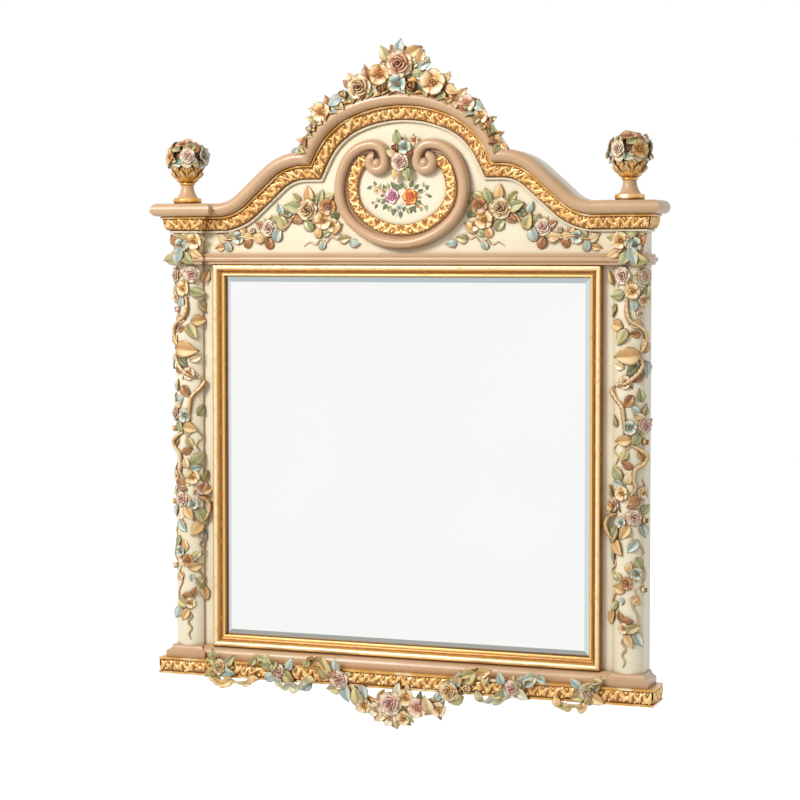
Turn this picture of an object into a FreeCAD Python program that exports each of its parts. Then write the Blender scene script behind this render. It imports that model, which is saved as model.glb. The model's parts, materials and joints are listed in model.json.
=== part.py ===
import FreeCAD
import Part
import math
import os

# Carved and painted wall mirror: bevelled glass in gilt rails, between two bowed pilasters, under an
# arched pediment with a scroll cartouche, turned finials and carved flowers.
# +Z is up, the front faces -Y and the wall is the plane Y = 0. The origin is the middle of the base
# bar's lower rear edge. A size that ends in _out is measured forwards from the wall, unless its
# comment says otherwise. All sizes are millimetres and degrees.

V = FreeCAD.Vector
ORIGIN = V(0, 0, 0)
RIGHT = V(1, 0, 0)
BACK = V(0, 1, 0)
UP = V(0, 0, 1)

# Glass and gilt rails
sight_width = 885.0
sight_height = 845.0
rail_width = 28.0
rail_proud = 20.0        # gilt ridge in front of the carcass
rail_ridge = 13.0        # width of the rounded outer ridge
rail_bead = 7.0          # width of the bead at the glass
rail_bead_proud = 9.0
glass_thickness = 5.0
glass_lap = 10.0         # glass hidden behind the rails
glass_play = 2.5
bevel_width = 12.7       # bevel that shows inside the rails
bevel_drop = 2.5

# Carcass and back
carcass_out = 48.0
reveal_width = 29.0      # flat strip between a pilaster and the gilt
packing_thickness = 7.0
panel_thickness = 6.0
panel_lap = 15.0
panel_play = 1.0
dowel_radius = 5.0
dowel_length = 60.0
dowel_pitch = 18.0

# Pilasters
pilaster_width = 68.0
pilaster_side = 8.0      # straight part of the side, before the bow
pilaster_bow = 17.0

# Base bar and plinth
base_height = 38.0
base_out = 94.0
base_overhang = 30.5     # past the stile
base_lip = 5.0
base_sink = 3.0          # depth of the ground between the lips
plinth_height = 28.0
plinth_face = 15.0       # height of the upright part
plinth_overhang = 15.5   # past the stile, and in front of the block above
plinth_top = 4.0         # overhang left at the top of the ogee
plinth_middle_out = 76.0

# Architrave, frieze and blocks
architrave_height = 24.0
architrave_bead = 12.0
architrave_overhang = 15.0
architrave_fillet = 9.0
architrave_middle = 12.0  # core of the middle length, in front of the frieze
frieze_height = 49.0
block_proud = 22.0

# Cornice, measured across its gold line and forwards from the frieze
torus_width = 30.0
torus_proud = 42.0
gold_radius = 3.0
gold_proud = 23.0
leaf_width = 26.0
leaf_proud = 17.0
leaf_toe = 12.0
bead_width = 7.0
bead_proud = 8.0
board_step = 1.0         # board edge below the top of the torus

# Pediment curve, along the gold line
arch_rise = 250.0        # crown above the straight ends
crown_radius = 300.0
crown_angle = 23.4
shoulder_radius = 172.0
shoulder_angle = 40.6
ogee_rise = 117.0
ogee_shelf = 20.0
ogee_slope = 90.0        # straight length between the two bends
end_run = 46.0           # straight length beside each block

# Cartouche
ring_half_width = 162.0
ring_foot = 12.0         # ring above the frieze's lower edge
ring_tube = 23.0
ring_proud = 22.0
ring_sill_angle = 45.0
ring_sill_radius = 170.0
ring_flank_radius = 133.0
ring_flank_angle = 30.0
ring_lobe_radius = 72.0
volute_drop_radius = 31.5
volute_drop = 8.0
volute_radius = 18.5
volute_end_radius = 12.0
volute_eye = 13.0
volute_eye_drop = 4.0    # eye below the centre of the loop
ring_fillet = 6.0
ring_fillet_proud = 5.0
ring_leaf_width = 26.0
ring_leaf_proud = 7.0
ring_leaf_end = 38.0     # angle that the leaf band follows the lobe
plaque_thickness = 4.0
plaque_margin = 6.0

# Finials
finial_foot_radius = 33.5
finial_foot_height = 13.0
finial_neck_radius = 15.0
finial_neck_height = 44.0
finial_collar_radius = 18.5
finial_collar_height = 5.0
finial_cup_radius = 36.5
finial_cup_height = 36.0
finial_leaf_count = 8
finial_ball_radius = 36.0
finial_ball_sink = 16.0   # ball let into the cup
finial_dowel_radius = 4.0
finial_setback = 6.0     # axis behind the front of the block
finial_dowel_length = 44.0

# Hangers
hanger_drop = 120.0      # below the top of the stile
plate_width = 36.0
plate_height = 76.0
plate_thickness = 2.0
keyhole_radius = 5.5
slot_half_width = 2.75
slot_length = 17.0
pocket_depth = 12.0
pocket_margin = 3.0
screw_radius = 1.8
screw_head_radius = 3.6
plate_screw_length = 18.0
panel_screw_length = 15.0
panel_screw_pitch = 225.0

# Carving
leaf_slimness = 0.56
leaf_lift = 0.16
stem_width = 8.0
stem_lift = 5.0
carving_sink = 3.0       # carving let into a curved carrier
vine_length = 901.0      # shaft height that the vine was drawn for
crest_bed_reach = 130.0  # along the torus, to each side of the crown
crest_bed_height = 60.0
crest_trail_height = 9.0
crest_trail_angle = 34.0 # trail along each shoulder
crest_bed_thickness = 16.0
crest_bed_out = 75.0
garland_span = 232.0
garland_sag = 46.0
garland_width = 18.0
garland_thickness = 12.0

# Places that follow from the sizes above
half_sight = sight_width / 2
half_glass = half_sight + glass_lap
half_opening = half_glass + glass_play
half_gilt = half_sight + rail_width
half_panel = half_opening + panel_lap
block_in = half_gilt + reveal_width
block_x = block_in + pilaster_width / 2
half_carcass = block_in + pilaster_width
half_base = half_carcass + base_overhang
block_out = carcass_out + block_proud
glass_back = carcass_out - glass_thickness
panel_front = glass_back - packing_thickness
panel_back = panel_front - panel_thickness
pilaster_edge = carcass_out + pilaster_side
pilaster_out = pilaster_edge + pilaster_bow
z_shaft = base_height + plinth_height
z_sight = z_shaft + rail_width
z_sight_top = z_sight + sight_height
z_architrave = z_sight_top + rail_width
z_frieze = z_architrave + architrave_height
z_gold = z_frieze + frieze_height + bead_width + leaf_width + gold_radius
torus_top = gold_radius + torus_width
z_crown = z_gold + arch_rise
z_cornice = z_gold + torus_top
shaft_height = z_architrave - z_shaft
opening_low = z_sight - glass_lap - glass_play
opening_high = z_sight_top + glass_lap + glass_play
x_hanger = (half_panel + half_carcass) / 2
z_hanger = z_frieze - hanger_drop


def block(x0, x1, out0, out1, z0, z1):
    """Upright box between two X, two distances from the wall and two heights."""
    return Part.makeBox(x1 - x0, out1 - out0, z1 - z0, V(x0, -out1, z0))


def face_from(steps, at):
    """Closed face. A step is a corner, or the middle and the end of an arc; at() gives its point."""
    edges = []
    corner = steps[-1][1] if isinstance(steps[-1][0], tuple) else steps[-1]
    last = at(*corner)
    for step in steps:
        if isinstance(step[0], tuple):
            end = at(*step[1])
            edges.append(Part.Arc(last, at(*step[0]), end).toShape())
        else:
            end = at(*step)
            edges.append(Part.makeLine(last, end))
        last = end
    return Part.Face(Part.Wire(edges))


def joined(shapes):
    """One solid from shapes that meet."""
    whole = shapes[0].multiFuse(shapes[1:]) if len(shapes) > 1 else shapes[0]
    return whole.removeSplitter()


def mirrored(shape):
    return shape.mirror(ORIGIN, RIGHT)


def group(shapes):
    return Part.makeCompound(shapes)


def heading_vector(angle):
    return V(math.cos(math.radians(angle)), 0, math.sin(math.radians(angle)))


def run(profile, start, angle, legs):
    """Moulding along a path in the plane of the wall. A leg is a length, or a radius and the angle
    that it turns clockwise. The profile's first number goes to the left of the path, its second
    forwards from the wall."""
    pieces = []
    here = start
    for leg in legs:
        ahead = heading_vector(angle)
        left = heading_vector(angle + 90)
        section = face_from(profile, lambda a, out: here + left * a - BACK * out)
        if isinstance(leg, tuple):
            radius, turn = leg
            centre = here - left * math.copysign(radius, turn)
            pieces.append(section.revolve(centre, BACK, turn))
            angle -= turn
            here = centre + heading_vector(angle + 90) * math.copysign(radius, turn)
        else:
            pieces.append(section.extrude(ahead * leg))
            here = here + ahead * leg
    return joined(pieces)


def trace(start, angle, legs, offset):
    """Edges of the line that runs beside a path, offset to its left, and the end of that line."""
    edges = []
    here = start
    for leg in legs:
        ahead = heading_vector(angle)
        left = heading_vector(angle + 90)
        first = here + left * offset
        if isinstance(leg, tuple):
            radius, turn = leg
            centre = here - left * math.copysign(radius, turn)
            middle = heading_vector(angle - turn / 2 + 90) * math.copysign(radius, turn)
            half = centre + middle + heading_vector(angle - turn / 2 + 90) * offset
            angle -= turn
            here = centre + heading_vector(angle + 90) * math.copysign(radius, turn)
            last = here + heading_vector(angle + 90) * offset
            edges.append(Part.Arc(first, half, last).toShape())
        else:
            here = here + ahead * leg
            last = here + left * offset
            edges.append(Part.makeLine(first, last))
    return edges, last


def half_space(point, direction):
    """Large block whose face passes through a point; it lies on the side that direction points to."""
    reach = 2 * (half_base + z_crown)
    slab = Part.makeBox(reach, reach, reach, V(-reach / 2, -reach / 2, 0))
    slab.Placement = FreeCAD.Placement(point, FreeCAD.Rotation(UP, direction))
    return slab


def wrap(profile, level, sink=0.0):
    """Moulding round the outer side, front and inner side of the right block. The profile gives
    height above level, then overhang."""
    corners = [V(half_carcass, 0, level), V(half_carcass, -block_out, level),
               V(block_in, -block_out, level), V(block_in, -carcass_out + sink, level)]
    section = face_from(profile, lambda a, out: V(half_carcass + out, 0, level + a))
    path = Part.makePolygon(corners)
    return path.makePipeShell([section.OuterWire], True, False, 1)


# Pediment path, right half

shoulder_turn = crown_angle + shoulder_angle
shoulder_x = (crown_radius - shoulder_radius) * math.sin(math.radians(crown_angle))
shoulder_z = (z_crown - crown_radius
              + (crown_radius - shoulder_radius) * math.cos(math.radians(crown_angle)))
shoulder_end = V(shoulder_x, 0, shoulder_z) + heading_vector(90 - shoulder_turn) * shoulder_radius
z_notch = z_gold + ogee_rise
skirt_run = (shoulder_end.z - z_notch) / math.sin(math.radians(shoulder_turn))
notch = shoulder_end + heading_vector(-shoulder_turn) * skirt_run
ogee_reach = block_in - end_run - ogee_shelf - notch.x
ogee_turn = 2 * math.degrees(math.atan(ogee_rise / (ogee_reach + ogee_slope)))
ogee_radius = ((ogee_reach - ogee_slope * math.cos(math.radians(ogee_turn)))
               / math.sin(math.radians(ogee_turn)) / 2)
mitre = heading_vector(-shoulder_turn / 2)
crown_top = V(0, 0, z_crown)

ogee_legs = [ogee_shelf, (ogee_radius, ogee_turn), ogee_slope, (ogee_radius, -ogee_turn)]


def torus_profile(face):
    nose = face + torus_proud
    middle = gold_radius + torus_width / 2
    side = nose - torus_width / 2
    return [(gold_radius, face), (gold_radius, side), ((middle, nose), (torus_top, side)), (torus_top, face)]


def leaf_profile(face):
    """Gold fillet above the sloping ground of the leaf carving."""
    low = -gold_radius - leaf_width
    gold_side = face + gold_proud - gold_radius
    return [(low, face), (low, face + leaf_toe), (-gold_radius, face + leaf_proud), (-gold_radius, gold_side),
            ((0, face + gold_proud), (gold_radius, gold_side)), (gold_radius, face)]


def bead_profile(face):
    high = -gold_radius - leaf_width
    low = high - bead_width
    side = face + bead_proud - bead_width / 2
    return [(low, face), (low, side), (((low + high) / 2, face + bead_proud), (high, side)), (high, face)]


def arch_moulding(profile):
    """Moulding over the arch, mitred at both notches."""
    spare = 2 * torus_top
    start = V(-notch.x, 0, notch.z) - heading_vector(shoulder_turn) * spare
    skirt = skirt_run + spare
    legs = [skirt, (shoulder_radius, shoulder_angle), (crown_radius, 2 * crown_angle),
            (shoulder_radius, shoulder_angle), skirt]
    whole = run(profile, start, shoulder_turn, legs)
    whole = whole.common(half_space(notch, mitre * -1))
    left_mitre = V(mitre.x, 0, -mitre.z)
    return whole.common(half_space(V(-notch.x, 0, notch.z), left_mitre))


def ogee_moulding(profile, end_piece):
    """Moulding over the right-hand ogee: mitred at the notch and scribed to the block's return."""
    spare = 2 * torus_top
    start = notch - RIGHT * spare
    whole = run(profile, start, 0, [spare + ogee_shelf] + ogee_legs[1:] + [end_run])
    return whole.common(half_space(notch, mitre)).cut(end_piece)


def board_under(edges, end, start, keep):
    """Part of the pediment board below a traced edge, on one side of the mitre line."""
    foot = V(half_carcass, 0, z_frieze)
    middle = V(0, 0, z_frieze)
    edges += [Part.makeLine(end, foot), Part.makeLine(foot, middle), Part.makeLine(middle, start)]
    return Part.Face(Part.Wire(edges)).extrude(BACK * -carcass_out).common(half_space(notch, keep))


def pediment_board():
    """Board with the full pediment outline, behind the cornice: a part under the arch and a part
    under the ogee, which meet on the mitre line."""
    offset = torus_top - board_step
    skirt = (shoulder_end.z - z_frieze) / (2 * math.sin(math.radians(shoulder_turn)))
    arch_legs = [(crown_radius, crown_angle), (shoulder_radius, shoulder_angle), skirt]
    edges, end = trace(crown_top, 0, arch_legs, offset)
    under_arch = board_under(edges, end, crown_top + UP * offset, mitre * -1)
    shelf_start = V(0, 0, z_notch)
    shelf_legs = [notch.x + ogee_shelf] + ogee_legs[1:] + [end_run + pilaster_width]
    edges, end = trace(shelf_start, 0, shelf_legs, offset)
    under_ogee = board_under(edges, end, shelf_start + UP * offset, mitre)
    half = joined([under_arch, under_ogee])
    return joined([half, mirrored(half)])


# Carcass

def dowel(centre, direction, radius, length):
    return Part.makeCylinder(radius, length, centre - direction * (length / 2), direction)


def frame_dowels():
    """Dowels between the stiles, the rails, the base bar and the pediment board."""
    pegs = []
    out_middle = carcass_out / 2
    for side in (-1, 1):
        for low, high in ((base_height, opening_low - panel_lap), (opening_high + panel_lap, z_frieze)):
            for step in (-0.5, 0.5):
                centre = V(side * half_opening, -out_middle + step * dowel_pitch, (low + high) / 2)
                pegs.append(dowel(centre, RIGHT, dowel_radius, dowel_length))
        for step in (-1, 1):
            x = side * (x_hanger + step * dowel_pitch)
            pegs.append(dowel(V(x, -out_middle, base_height), UP, dowel_radius, dowel_length))
            pegs.append(dowel(V(x, -out_middle, z_frieze), UP, dowel_radius, dowel_length))
    return pegs


def panel_pocket():
    spare = panel_lap + panel_play
    return block(-half_opening - spare, half_opening + spare, -1, panel_front,
                 opening_low - spare, opening_high + spare)


def stile():
    return block(half_opening, half_carcass, 0, carcass_out, base_height, z_frieze)


def cross_rail(low, high):
    return block(-half_opening, half_opening, 0, carcass_out, low, high)


def base_bar():
    """Bar with a sunk ground for the leaf carving on its front and both ends."""
    bar = block(-half_base, half_base, 0, base_out, 0, base_height)
    ground = (base_lip, base_height - base_lip)
    skin = block(-half_base, half_base, -1, base_out, *ground)
    core = block(-half_base + base_sink, half_base - base_sink, -1, base_out - base_sink, *ground)
    return bar.cut(skin.cut(core))


def pilaster():
    """Right pilaster: straight sides and a bowed front."""
    half = pilaster_width / 2
    steps = [(-half, carcass_out), (-half, pilaster_edge), ((0, pilaster_out), (half, pilaster_edge)),
             (half, carcass_out)]
    return face_from(steps, lambda a, out: V(block_x + a, -out, z_shaft)).extrude(UP * shaft_height)


def block_core(low, high):
    return block(block_in, half_carcass, carcass_out, block_out, low, high)


def plinth_end():
    ramp = plinth_height - plinth_face
    hollow = plinth_overhang - plinth_top
    cove = (plinth_face + ramp * 0.35, plinth_top + hollow * 0.35)
    profile = [(0, 0), (0, plinth_overhang), (plinth_face, plinth_overhang),
               (cove, (plinth_height, plinth_top)), (plinth_height, 0)]
    return joined([wrap(profile, base_height), block_core(base_height, z_shaft)])


def plinth_middle(ends):
    """Cushion moulding between the plinth blocks, scribed to their returns."""
    top_out = carcass_out + rail_proud / 2
    swell = (plinth_height * 0.7, plinth_middle_out - (plinth_middle_out - top_out) * 0.25)
    profile = [(0, carcass_out), (0, plinth_middle_out), (plinth_height * 0.25, plinth_middle_out),
               (swell, (plinth_height, top_out)), (plinth_height, carcass_out)]
    section = face_from(profile, lambda a, out: V(-block_in, -out, base_height + a))
    return section.extrude(RIGHT * 2 * block_in).cut(ends[0]).cut(ends[1])


def architrave_profile(face):
    edge = (architrave_height - architrave_bead) / 2
    fillet = face + architrave_fillet
    return [(0, face), (0, fillet), (edge, fillet),
            ((architrave_height / 2, face + architrave_overhang), (architrave_height - edge, fillet)),
            (architrave_height, fillet), (architrave_height, face)]


def architrave_end():
    return joined([wrap(architrave_profile(0), z_architrave), block_core(z_architrave, z_frieze)])


def architrave_middle_length(ends):
    core = carcass_out + architrave_middle
    section = face_from(architrave_profile(core), lambda a, out: V(-block_in, -out, z_architrave + a))
    length = section.extrude(RIGHT * 2 * block_in)
    core_bar = block(-block_in, block_in, carcass_out, core, z_architrave, z_frieze)
    return joined([length, core_bar]).cut(ends[0]).cut(ends[1])


# Glass, gilt rails and back

def sight_rail(length):
    """Mitred rail along X with its sight edge on the X axis and its outer edge below."""
    ridge = carcass_out + rail_proud
    bead = carcass_out + rail_bead_proud
    ridge_side = ridge - rail_ridge / 2
    bead_side = bead - rail_bead / 2
    ridge_in = rail_width - rail_ridge
    scotia = ((rail_bead + 2 * ridge_in) / 3, (2 * bead_side + ridge_side) / 3)
    profile = [(0, carcass_out), (0, bead_side), ((rail_bead / 2, bead), (rail_bead, bead_side)),
               (scotia, (ridge_in, ridge_side)),
               ((rail_width - rail_ridge / 2, ridge), (rail_width, ridge_side)), (rail_width, carcass_out)]
    half = length / 2
    section = face_from(profile, lambda a, out: V(-half - rail_width, -out, -a))
    bar = section.extrude(RIGHT * (length + 2 * rail_width))
    corners = [(-half, 0), (half, 0), (half + rail_width, -rail_width), (-half - rail_width, -rail_width)]
    plan = face_from(corners, lambda x, z: V(x, 0, z)).extrude(BACK * -2 * ridge)
    return bar.common(plan)


def sight_rails():
    flat = sight_rail(sight_width)
    upright = sight_rail(sight_height)
    places = {"bottom": (flat, 0, V(0, 0, z_sight)), "top": (flat, 180, V(0, 0, z_sight_top)),
              "left": (upright, 90, V(-half_sight, 0, (z_sight + z_sight_top) / 2)),
              "right": (upright, -90, V(half_sight, 0, (z_sight + z_sight_top) / 2))}
    rails = {}
    for name, (rail, turn, place) in places.items():
        turned = rail.copy()
        turned.rotate(ORIGIN, BACK, turn)
        turned.translate(place)
        rails["sight_rail_" + name] = turned
    return rails


def mirror_glass():
    """Plate with a bevel that starts behind the rails and shows inside them."""
    low = z_sight - glass_lap
    high = z_sight_top + glass_lap
    bevel = glass_lap + bevel_width
    edge_out = carcass_out - bevel_drop
    plate = block(-half_glass, half_glass, glass_back, edge_out, low, high)
    wires = []
    for inset, out in ((0, edge_out), (bevel, carcass_out)):
        x = half_glass - inset
        corners = [(-x, low + inset), (x, low + inset), (x, high - inset), (-x, high - inset)]
        wires.append(face_from(corners, lambda a, z: V(a, -out, z)).OuterWire)
    return joined([plate, Part.makeLoft(wires, True, True)])


def screw(x, out, z, length):
    """Countersunk screw driven forwards, its head flush at the given distance from the wall."""
    head_height = screw_head_radius - screw_radius
    forwards = BACK * -1
    head = Part.makeCone(screw_head_radius, screw_radius, head_height, V(x, -out, z), forwards)
    shank = Part.makeCylinder(screw_radius, length - head_height, V(x, -out - head_height, z), forwards)
    return joined([head, shank])


def panel_screws():
    """Screws round the edge of the back panel, evenly spaced on each side."""
    inset = panel_lap / 2
    x_edge = half_panel - inset
    z_low = opening_low - panel_lap + inset
    z_high = opening_high + panel_lap - inset
    across = max(2, round(2 * x_edge / panel_screw_pitch))
    along = max(2, round((z_high - z_low) / panel_screw_pitch))
    places = []
    for i in range(across + 1):
        x = -x_edge + 2 * x_edge * i / across
        places += [(x, z_low), (x, z_high)]
    for i in range(1, along):
        z = z_low + (z_high - z_low) * i / along
        places += [(-x_edge, z), (x_edge, z)]
    return [screw(x, panel_back, z, panel_screw_length) for x, z in places]


def plate_screws():
    reach = plate_height / 2 - 2 * screw_head_radius
    return [screw(side * x_hanger, 0, z_hanger + end * reach, plate_screw_length)
            for side in (-1, 1) for end in (-1, 1)]


def keyhole(out0, out1, spare):
    """Keyhole on the right: a round entry below an upright slot."""
    forwards = BACK * -1
    depth = out1 - out0
    z_entry = z_hanger - slot_length / 2
    entry = Part.makeCylinder(keyhole_radius + spare, depth, V(x_hanger, -out0, z_entry), forwards)
    half = slot_half_width + spare
    slot = block(x_hanger - half, x_hanger + half, out0, out1, z_entry, z_entry + slot_length)
    top = Part.makeCylinder(half, depth, V(x_hanger, -out0, z_entry + slot_length), forwards)
    return joined([entry, slot, top])


def keyhole_plate():
    half = plate_width / 2
    plate = block(x_hanger - half, x_hanger + half, 0, plate_thickness,
                  z_hanger - plate_height / 2, z_hanger + plate_height / 2)
    return plate.cut(keyhole(0, plate_thickness, 0))


def head_pocket():
    """Room in the stile for the head and neck of the wall screw."""
    half = keyhole_radius + pocket_margin
    low = z_hanger - slot_length / 2 - half
    high = z_hanger + slot_length / 2 + half
    return block(x_hanger - half, x_hanger + half, 0, plate_thickness + pocket_depth, low, high)


# Cartouche

plaque_out = carcass_out + plaque_thickness
ring_sill_sine = math.sin(math.radians(ring_sill_angle))
ring_side_reach = ring_half_width - ring_tube / 2 - ring_sill_radius * ring_sill_sine
ring_side_radius = ring_side_reach / (1 - ring_sill_sine)
ring_start = V(0, 0, z_frieze + ring_foot + ring_tube / 2)
ring_legs = [(ring_sill_radius, ring_sill_angle), (ring_side_radius, 90 - ring_sill_angle),
             (ring_flank_radius, ring_flank_angle), (ring_lobe_radius, 90 - ring_flank_angle)]
volute_legs = [(volute_drop_radius, 90), volute_drop, (volute_radius, 180), (volute_end_radius, 90)]


def cartouche_scroll():
    """Left half of the scroll: a half-round tube that rolls into a volute round an eye."""
    half = ring_tube / 2
    shoulder = plaque_out + ring_proud - half
    tube = [(-half, plaque_out), (-half, shoulder), ((0, shoulder + half), (half, shoulder)),
            (half, plaque_out)]
    fillet_out = plaque_out + ring_fillet_proud
    fillet = [(-half - ring_fillet, plaque_out), (-half - ring_fillet, fillet_out), (-half, fillet_out),
              (-half, plaque_out)]
    rolled = run(tube, ring_start, 180, ring_legs + volute_legs)
    edges, loop_start = trace(ring_start, 180, ring_legs + volute_legs[:2], 0)
    eye_place = loop_start - RIGHT * volute_radius - UP * volute_eye_drop
    eye = Part.makeCylinder(volute_eye, shoulder - plaque_out, eye_place - BACK * plaque_out, BACK * -1)
    dome = Part.makeSphere(volute_eye, eye_place - BACK * shoulder)
    return joined([rolled, run(fillet, ring_start, 180, ring_legs), eye, dome])


def cartouche_leaf_band(scrolls):
    outer = -ring_tube / 2 - ring_fillet
    inner = outer - ring_leaf_width
    front = plaque_out + ring_leaf_proud
    profile = [(inner, plaque_out), (inner, front), (outer, front), (outer, plaque_out)]
    lobe = (ring_lobe_radius, ring_leaf_end)
    half = run(profile, ring_start, 180, ring_legs[:3] + [lobe])
    return joined([half, mirrored(half)]).cut(scrolls[0]).cut(scrolls[1])


def cartouche_plaque():
    """Ground of the cartouche, under the scroll and the painted field."""
    edges, top = trace(ring_start, 180, ring_legs, plaque_margin)
    dip = V(0, 0, top.z - ring_tube - volute_drop_radius)
    sides = [Part.makeLine(top, dip), Part.makeLine(dip, ring_start - UP * plaque_margin)]
    half = Part.Face(Part.Wire(edges + sides)).extrude(BACK * -plaque_thickness)
    half.translate(BACK * -carcass_out)
    return joined([half, mirrored(half)])


# Carved flowers and leaves, each built facing +Z with its root below Z = 0

def lobed_disc(radius, lobes, depth, low, high):
    """Disc with a scalloped edge: one arc to each petal."""
    step = 360.0 / lobes
    valley = radius * (1 - depth)

    def point(reach, angle):
        turn = math.radians(angle)
        return V(reach * math.cos(turn), reach * math.sin(turn), low)

    arcs = []
    for i in range(lobes):
        tip = point(radius, (i + 0.5) * step)
        arcs.append(Part.Arc(point(valley, i * step), tip, point(valley, (i + 1) * step)).toShape())
    return Part.Face(Part.Wire(arcs)).extrude(UP * (high - low))


def rose(radius, root):
    """Three rings of petals round a bud."""
    tiers = [(1.0, -root, 0.30), (0.76, 0.30, 0.54), (0.50, 0.54, 0.78)]
    rings = []
    for turn, (share, low, high) in enumerate(tiers):
        ring = lobed_disc(radius * share, 5, 0.12, low if low < 0 else low * radius, high * radius)
        ring.rotate(ORIGIN, UP, 36 * turn)
        rings.append(ring)
    rings.append(Part.makeCone(0.28 * radius, 0.16 * radius, 0.16 * radius, UP * 0.78 * radius))
    return joined(rings)


def blossom(radius, root):
    """Five open petals round a domed heart."""
    petals = lobed_disc(radius, 5, 0.34, -root, 0.34 * radius)
    heart = Part.makeCone(0.34 * radius, 0.2 * radius, 0.26 * radius, UP * 0.34 * radius)
    return joined([petals, heart])


def bud(radius, root):
    profile = [(0, -root), (0.6 * radius, -root), ((radius, 0.5 * radius), (0.45 * radius, 1.3 * radius)),
               (0, 1.5 * radius)]
    return face_from(profile, lambda r, z: V(r, 0, z)).revolve(ORIGIN, UP, 360)


def lens(length, width, inset, level):
    """Leaf outline along X, drawn in at both ends."""
    tail = V(inset, 0, level)
    tip = V(length - inset, 0, level)
    belly = 0.42 * length
    arcs = [Part.Arc(tail, V(belly, -width / 2, level), tip), Part.Arc(tip, V(belly, width / 2, level), tail)]
    return Part.Wire([arc.toShape() for arc in arcs])


def leaf(length, root):
    """Pointed leaf that rises to a ridge along its middle. Its length is centred on the origin."""
    width = length * leaf_slimness
    lift = length * leaf_lift
    wires = [lens(length, width, 0, -root), lens(length, width, 0, 0.4 * lift),
             lens(length, 0.22 * width, 0.16 * length, lift)]
    blade = Part.makeLoft(wires, True, True)
    blade.translate(RIGHT * (-length / 2))
    return blade


CARVERS = {"rose": rose, "blossom": blossom, "bud": bud, "leaf": leaf}


def carved(kind, size, angle, place, lean=0.0, root=0.0):
    """A flower or leaf that faces forwards, turned by angle about its own axis and leaned about Z."""
    piece = CARVERS[kind](size, root)
    piece.rotate(ORIGIN, UP, angle)
    piece.rotate(ORIGIN, RIGHT, 90)
    piece.rotate(ORIGIN, UP, lean)
    piece.translate(place)
    return piece


def settled(pieces, carriers):
    """Trims each carving by its carriers and by the carvings before it, so that they meet."""
    done = []
    for piece in pieces:
        for other in carriers + done:
            if piece.Solids and piece.BoundBox.intersect(other.BoundBox):
                piece = piece.cut(other)
        if piece.Solids:
            done.append(max(piece.Solids, key=lambda solid: solid.Volume))
    return done


def stem(start, angle, legs, out0, out1, width=stem_width):
    """Flat stem along a path in the plane of the wall."""
    half = width / 2
    return run([(-half, out0), (-half, out1), (half, out1), (half, out0)], start, angle, legs)


# Each carving is a kind, a place across and up, a radius (a length for a leaf) and an angle.

# Vine: across from the pilaster's axis towards the glass, and down from the top of the shaft.
VINE = [
    ("rose", 13, 23, 17, 0), ("rose", -31, 25, 15, 20), ("blossom", -8, 57, 15, 10),
    ("blossom", -30, 78, 12, 0), ("bud", -22, 106, 8, 0), ("blossom", 6, 257, 13, 40),
    ("rose", -33, 352, 15, 0), ("blossom", -4, 357, 14, 0), ("blossom", 13, 501, 15, 20),
    ("blossom", 30, 527, 14, 0), ("rose", -13, 554, 15, 10), ("blossom", 14, 566, 11, 50),
    ("bud", -33, 561, 8, 0), ("bud", -33, 388, 8, 0), ("blossom", -18, 678, 12, 0),
    ("blossom", 2, 700, 12, 30), ("bud", -32, 714, 8, 0), ("leaf", 24, 66, 34, -20),
    ("leaf", 42, 28, 30, 70), ("leaf", -12, 90, 26, -80), ("leaf", -16, 130, 28, 10),
    ("leaf", 27, 132, 36, 5), ("leaf", 13, 158, 38, -70), ("leaf", -14, 152, 24, -10),
    ("leaf", 1, 200, 56, -8), ("leaf", -8, 230, 30, -52), ("leaf", -36, 228, 34, -100),
    ("leaf", -20, 248, 26, -35), ("leaf", -2, 300, 32, -58), ("leaf", -16, 318, 26, 30),
    ("leaf", -24, 332, 24, 200), ("leaf", -17, 384, 32, -60), ("leaf", 9, 386, 36, -8),
    ("leaf", 24, 457, 38, 38), ("leaf", -2, 468, 28, 105), ("leaf", 22, 481, 28, 0),
    ("leaf", -13, 520, 34, -20), ("leaf", 44, 532, 30, 15), ("leaf", -34, 536, 28, 130),
    ("leaf", 5, 588, 34, -68), ("leaf", -32, 584, 30, 250), ("leaf", 31, 596, 42, -62),
    ("leaf", 22, 622, 40, 228), ("leaf", 33, 644, 28, 250), ("leaf", -12, 618, 32, -62),
    ("leaf", 20, 714, 32, 22), ("leaf", 12, 741, 18, -80), ("leaf", 36, 778, 32, -78),
    ("leaf", 0, 784, 26, 170), ("leaf", 15, 774, 22, 60), ("leaf", -12, 800, 32, 150),
    ("leaf", -22, 824, 32, 235), ("leaf", -4, 828, 30, 255),
]
# Stems of the vine: start across and down, heading, then lengths and bends.
VINE_STEMS = [
    (2, 74, -90, [36, (30, 62), 22, (14, -70), 30, (26, -24), 22]),
    (32, 266, -10, [(9, 130), 22, (22, -50), 46]),
    (-8, 396, 205, [16, (16, -110), 20, (24, 62), 16, (24, -40), 14]),
    (26, 548, -20, [8, (22, 90), 22]),
    (-6, 596, 215, [30, (16, -60), 16]),
    (12, 716, -45, [14, (40, 40), 18]),
    (10, 782, -70, [8, (14, 90), 18, (8, -130), 14, (16, 50), 24]),
]
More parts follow.
